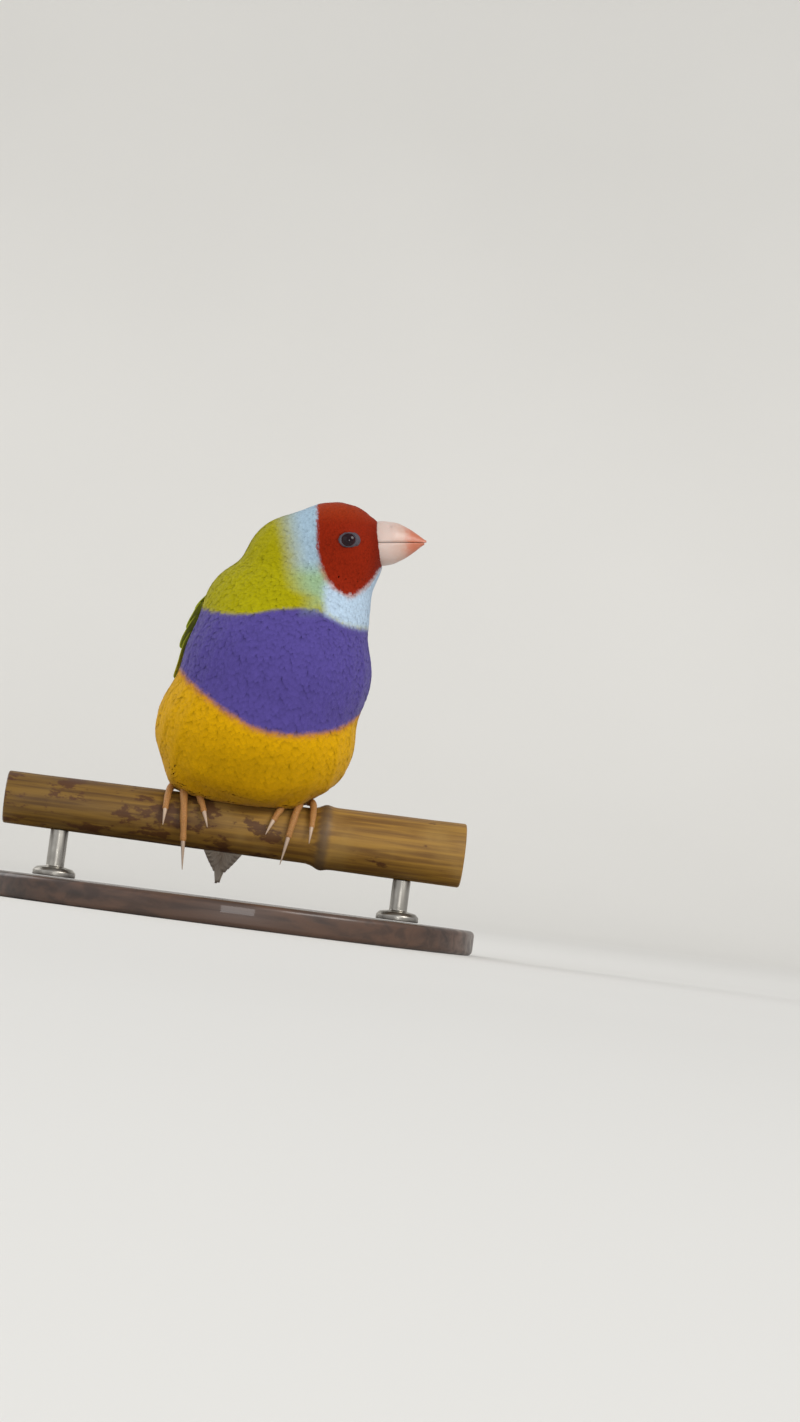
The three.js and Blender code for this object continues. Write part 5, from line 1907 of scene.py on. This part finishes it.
class FINCH_OT_stand(bpy.types.Operator):
    """An oval wooden base and two turned steel rods"""

    bl_idname = "finch.stand"
    bl_label = "Stand"

    def execute(self, context):
        colours = context.scene.finch_colours
        self.make_base(wood_material(colours))
        metal = metal_material(colours)
        for side in SIDES:
            self.make_rod(side, metal)
        return {"FINISHED"}

    def make_base(self, material):
        """An oval disc with a fine groove round its top."""
        size = BASE_HIGH - BASE_LOW
        deselect()
        middle = (BASE_LOW + BASE_HIGH) / 2
        bpy.ops.mesh.primitive_cylinder_add(vertices=160, radius=0.5, depth=1, location=middle)
        base = bpy.context.view_layer.objects.active
        base.scale = size
        rest_in_mesh(base)
        bpy.ops.object.mode_set(mode="EDIT")
        select_faces(base, lambda c: c.z > BASE_HIGH.z - 1e-5)
        bpy.ops.mesh.inset(thickness=0.0052)
        bpy.ops.mesh.inset(thickness=0.0004)
        bpy.ops.transform.translate(value=(0, 0, -0.0004))
        bpy.ops.mesh.inset(thickness=0.0008)
        bpy.ops.mesh.inset(thickness=0.0004)
        bpy.ops.transform.translate(value=(0, 0, 0.0004))
        bpy.ops.object.mode_set(mode="OBJECT")
        round_edges(base, 0.0012, 5, 60)
        bpy.ops.object.shade_smooth_by_angle(angle=math.radians(35))
        finish_piece(base, "base_wood", material, ["stand_base"])

    def make_rod(self, side, material):
        """A foot drawn up in steps to a slim rod, as far as the perch."""
        low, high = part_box(f"stand_rod_{side}")
        middle = (low + high) / 2
        deselect()
        bpy.ops.mesh.primitive_cylinder_add(
            vertices=64, radius=0.0052, depth=0.0012, location=(middle.x, middle.y, low.z + 0.0006)
        )
        rod = bpy.context.view_layer.objects.active
        rest_in_mesh(rod)
        bpy.ops.object.mode_set(mode="EDIT")
        centre = Vector((middle.x, middle.y, 0))
        rises = ((0.0008, 4.4 / 5.2), (0.0004, 2.2 / 4.4), (0.0002, 1.0), (high.z - low.z - 0.0026, 1.0))
        top = low.z + 0.0012
        select_faces(rod, lambda c: c.z > top - 1e-5)
        for rise, shrink in rises:
            bpy.ops.mesh.extrude_region_move(TRANSFORM_OT_translate={"value": (0, 0, rise)})
            bpy.ops.transform.resize(value=(shrink, shrink, 1), center_override=centre)
        bpy.ops.object.mode_set(mode="OBJECT")
        round_edges(rod, 0.00025, 3, 30)
        bpy.ops.object.shade_smooth_by_angle(angle=math.radians(35))
        finish_piece(rod, f"rod_{side}", material, [f"stand_rod_{side}"])


# Stage: camera, floor, backdrop and light

IMAGE_WIDTH, IMAGE_HEIGHT = 800, 1422
SENSOR = 36.0
CAMERA_DISTANCE = 0.8
CAMERA_ELEVATION = math.radians(-1.5)
CAMERA_ROLL = math.radians(7.4)
PERCH_TOP_PIXEL = (239, 798)
PIXELS_PER_MM = 4.1


def place_camera():
    """The camera stands low before the bird, tipped a little to its right, so that the perch slopes."""
    way = np.array([0, math.cos(CAMERA_ELEVATION), -math.sin(CAMERA_ELEVATION)])
    across = (IMAGE_WIDTH / 2 - PERCH_TOP_PIXEL[0]) / PIXELS_PER_MM
    above = (PERCH_TOP_PIXEL[1] - IMAGE_HEIGHT / 2) / PIXELS_PER_MM
    cosine, sine = math.cos(CAMERA_ROLL), math.sin(CAMERA_ROLL)
    level = np.array([1.0, 0, 0]) * (across * cosine - above * sine) * MM
    raised = np.cross([1.0, 0, 0], way) * (across * sine + above * cosine) * MM
    eye = PERCH_TOP - way * CAMERA_DISTANCE
    aim = unit(PERCH_TOP + level + raised - eye)
    right = unit(np.cross(aim, [0, 0, 1]))
    up = np.cross(right, aim)
    rolled_right = right * cosine + up * sine
    rolled_up = up * cosine - right * sine
    data = bpy.data.cameras.new("camera")
    data.sensor_width = SENSOR
    data.lens = PIXELS_PER_MM * CAMERA_DISTANCE / MM * SENSOR / IMAGE_HEIGHT
    data.clip_start = 0.01
    camera = bpy.data.objects.new("camera", data)
    camera.matrix_world = Matrix(np.column_stack([rolled_right, rolled_up, -aim])).to_4x4()
    camera.location = Vector(eye)
    bpy.context.scene.collection.objects.link(camera)
    bpy.context.scene.camera = camera


def area_light(name, place, power, size, colour=(1, 1, 1)):
    data = bpy.data.lights.new(name, "AREA")
    data.energy = power
    data.size = size
    data.color = colour
    light = bpy.data.objects.new(name, data)
    light.location = Vector(place)
    target = Vector(to_frame([3, 0, 35]))
    light.rotation_euler = (target - light.location).to_track_quat("-Z", "Y").to_euler()
    bpy.context.scene.collection.objects.link(light)


def sun_light(name, towards, strength, spread, colour):
    """An even light from far off, soft at the edges of its shadows."""
    data = bpy.data.lights.new(name, "SUN")
    data.energy = strength
    data.angle = math.radians(spread)
    data.color = colour
    light = bpy.data.objects.new(name, data)
    light.location = Vector(towards)
    light.rotation_euler = Vector(towards).to_track_quat("Z", "Y").to_euler()
    bpy.context.scene.collection.objects.link(light)


# The floor's size, the rounded foot of the backdrop as short steps of equal turn, and the backdrop's height
FLOOR_SIZE = (6, 3.4)
FLOOR_MIDDLE = (0, 0.4, 0)
COVE_STEPS = 12
COVE_STEP = 0.12
BACKDROP_HEIGHT = 3


class FINCH_OT_stage(bpy.types.Operator):
    """Plain pale floor and backdrop, soft studio light and the camera"""

    bl_idname = "finch.stage"
    bl_label = "Stage"

    def execute(self, context):
        place_camera()
        deselect()
        bpy.ops.mesh.primitive_plane_add(size=1, location=FLOOR_MIDDLE)
        floor = bpy.context.view_layer.objects.active
        floor.scale = (*FLOOR_SIZE, 1)
        rest_in_mesh(floor)
        bpy.ops.object.mode_set(mode="EDIT")
        bpy.ops.mesh.select_mode(type="EDGE")
        bpy.ops.mesh.select_all(action="DESELECT")
        bpy.ops.object.mode_set(mode="OBJECT")
        for edge in floor.data.edges:
            edge.select = all(floor.data.vertices[i].co.y > FLOOR_SIZE[1] / 2 for i in edge.vertices)
        bpy.ops.object.mode_set(mode="EDIT")
        for step in range(COVE_STEPS):
            turn = math.radians(90 / COVE_STEPS * (step + 0.5))
            move = (0, COVE_STEP * math.cos(turn), COVE_STEP * math.sin(turn))
            bpy.ops.mesh.extrude_edges_move(TRANSFORM_OT_translate={"value": move})
        bpy.ops.mesh.extrude_edges_move(TRANSFORM_OT_translate={"value": (0, 0, BACKDROP_HEIGHT)})
        bpy.ops.object.mode_set(mode="OBJECT")
        face_outwards(floor)
        bpy.ops.object.shade_smooth()
        floor.name = "floor"
        floor.data.materials.append(paper_material())
        sun_light("key", (0.53, -0.63, 0.57), 1.6, 28.0, (1.0, 0.98, 0.95))
        area_light("fill", (-0.75, -0.7, 0.35), 1.1, 0.8, (0.95, 0.97, 1.0))
        area_light("rim", (-0.8, 0.35, 0.5), 3.0, 0.6)
        area_light("low", (0.1, -1.2, 0.14), 1.7, 0.25)
        world = bpy.data.worlds.new("studio")
        world.use_nodes = True
        background = world.node_tree.nodes["Background"]
        set_constants(background, {"Color": (0.97, 0.98, 1.0, 1), "Strength": 0.55})
        bpy.context.scene.world = world
        bpy.context.scene.view_settings.view_transform = "Standard"
        return {"FINISHED"}


# The add-on

# The skin comes after the coat and the wings, because they are laid on its form before it is sunk.
STEPS = (
    FINCH_OT_stage, FINCH_OT_perch, FINCH_OT_stand, FINCH_OT_coat, FINCH_OT_wings, FINCH_OT_skin,
    FINCH_OT_tail, FINCH_OT_bill, FINCH_OT_eyes, FINCH_OT_feet,
)


class FINCH_PT_panel(bpy.types.Panel):
    """The finch's settings and the buttons that make its pieces"""

    bl_idname = "FINCH_PT_panel"
    bl_label = "Finch"
    bl_space_type = "VIEW_3D"
    bl_region_type = "UI"
    bl_category = "Finch"

    def draw(self, context):
        for settings in (context.scene.finch_coat, context.scene.finch_colours):
            box = self.layout.box()
            for name in settings.__annotations__:
                box.prop(settings, name)
        for step in STEPS:
            self.layout.operator(step.bl_idname)


CLASSES = (FinchColours, FinchCoat, *STEPS, FINCH_PT_panel)


def register():
    for made in CLASSES:
        bpy.utils.register_class(made)
    bpy.types.Scene.finch_colours = PointerProperty(type=FinchColours)
    bpy.types.Scene.finch_coat = PointerProperty(type=FinchCoat)


def unregister():
    del bpy.types.Scene.finch_coat
    del bpy.types.Scene.finch_colours
    for made in reversed(CLASSES):
        bpy.utils.unregister_class(made)


def corners(bounds):
    return [list(corner) for corner in bounds]


def main():
    register()
    for step in STEPS:
        family, name = step.bl_idname.split(".")
        getattr(getattr(bpy.ops, family), name)()


if __name__ == "__main__":
    main()
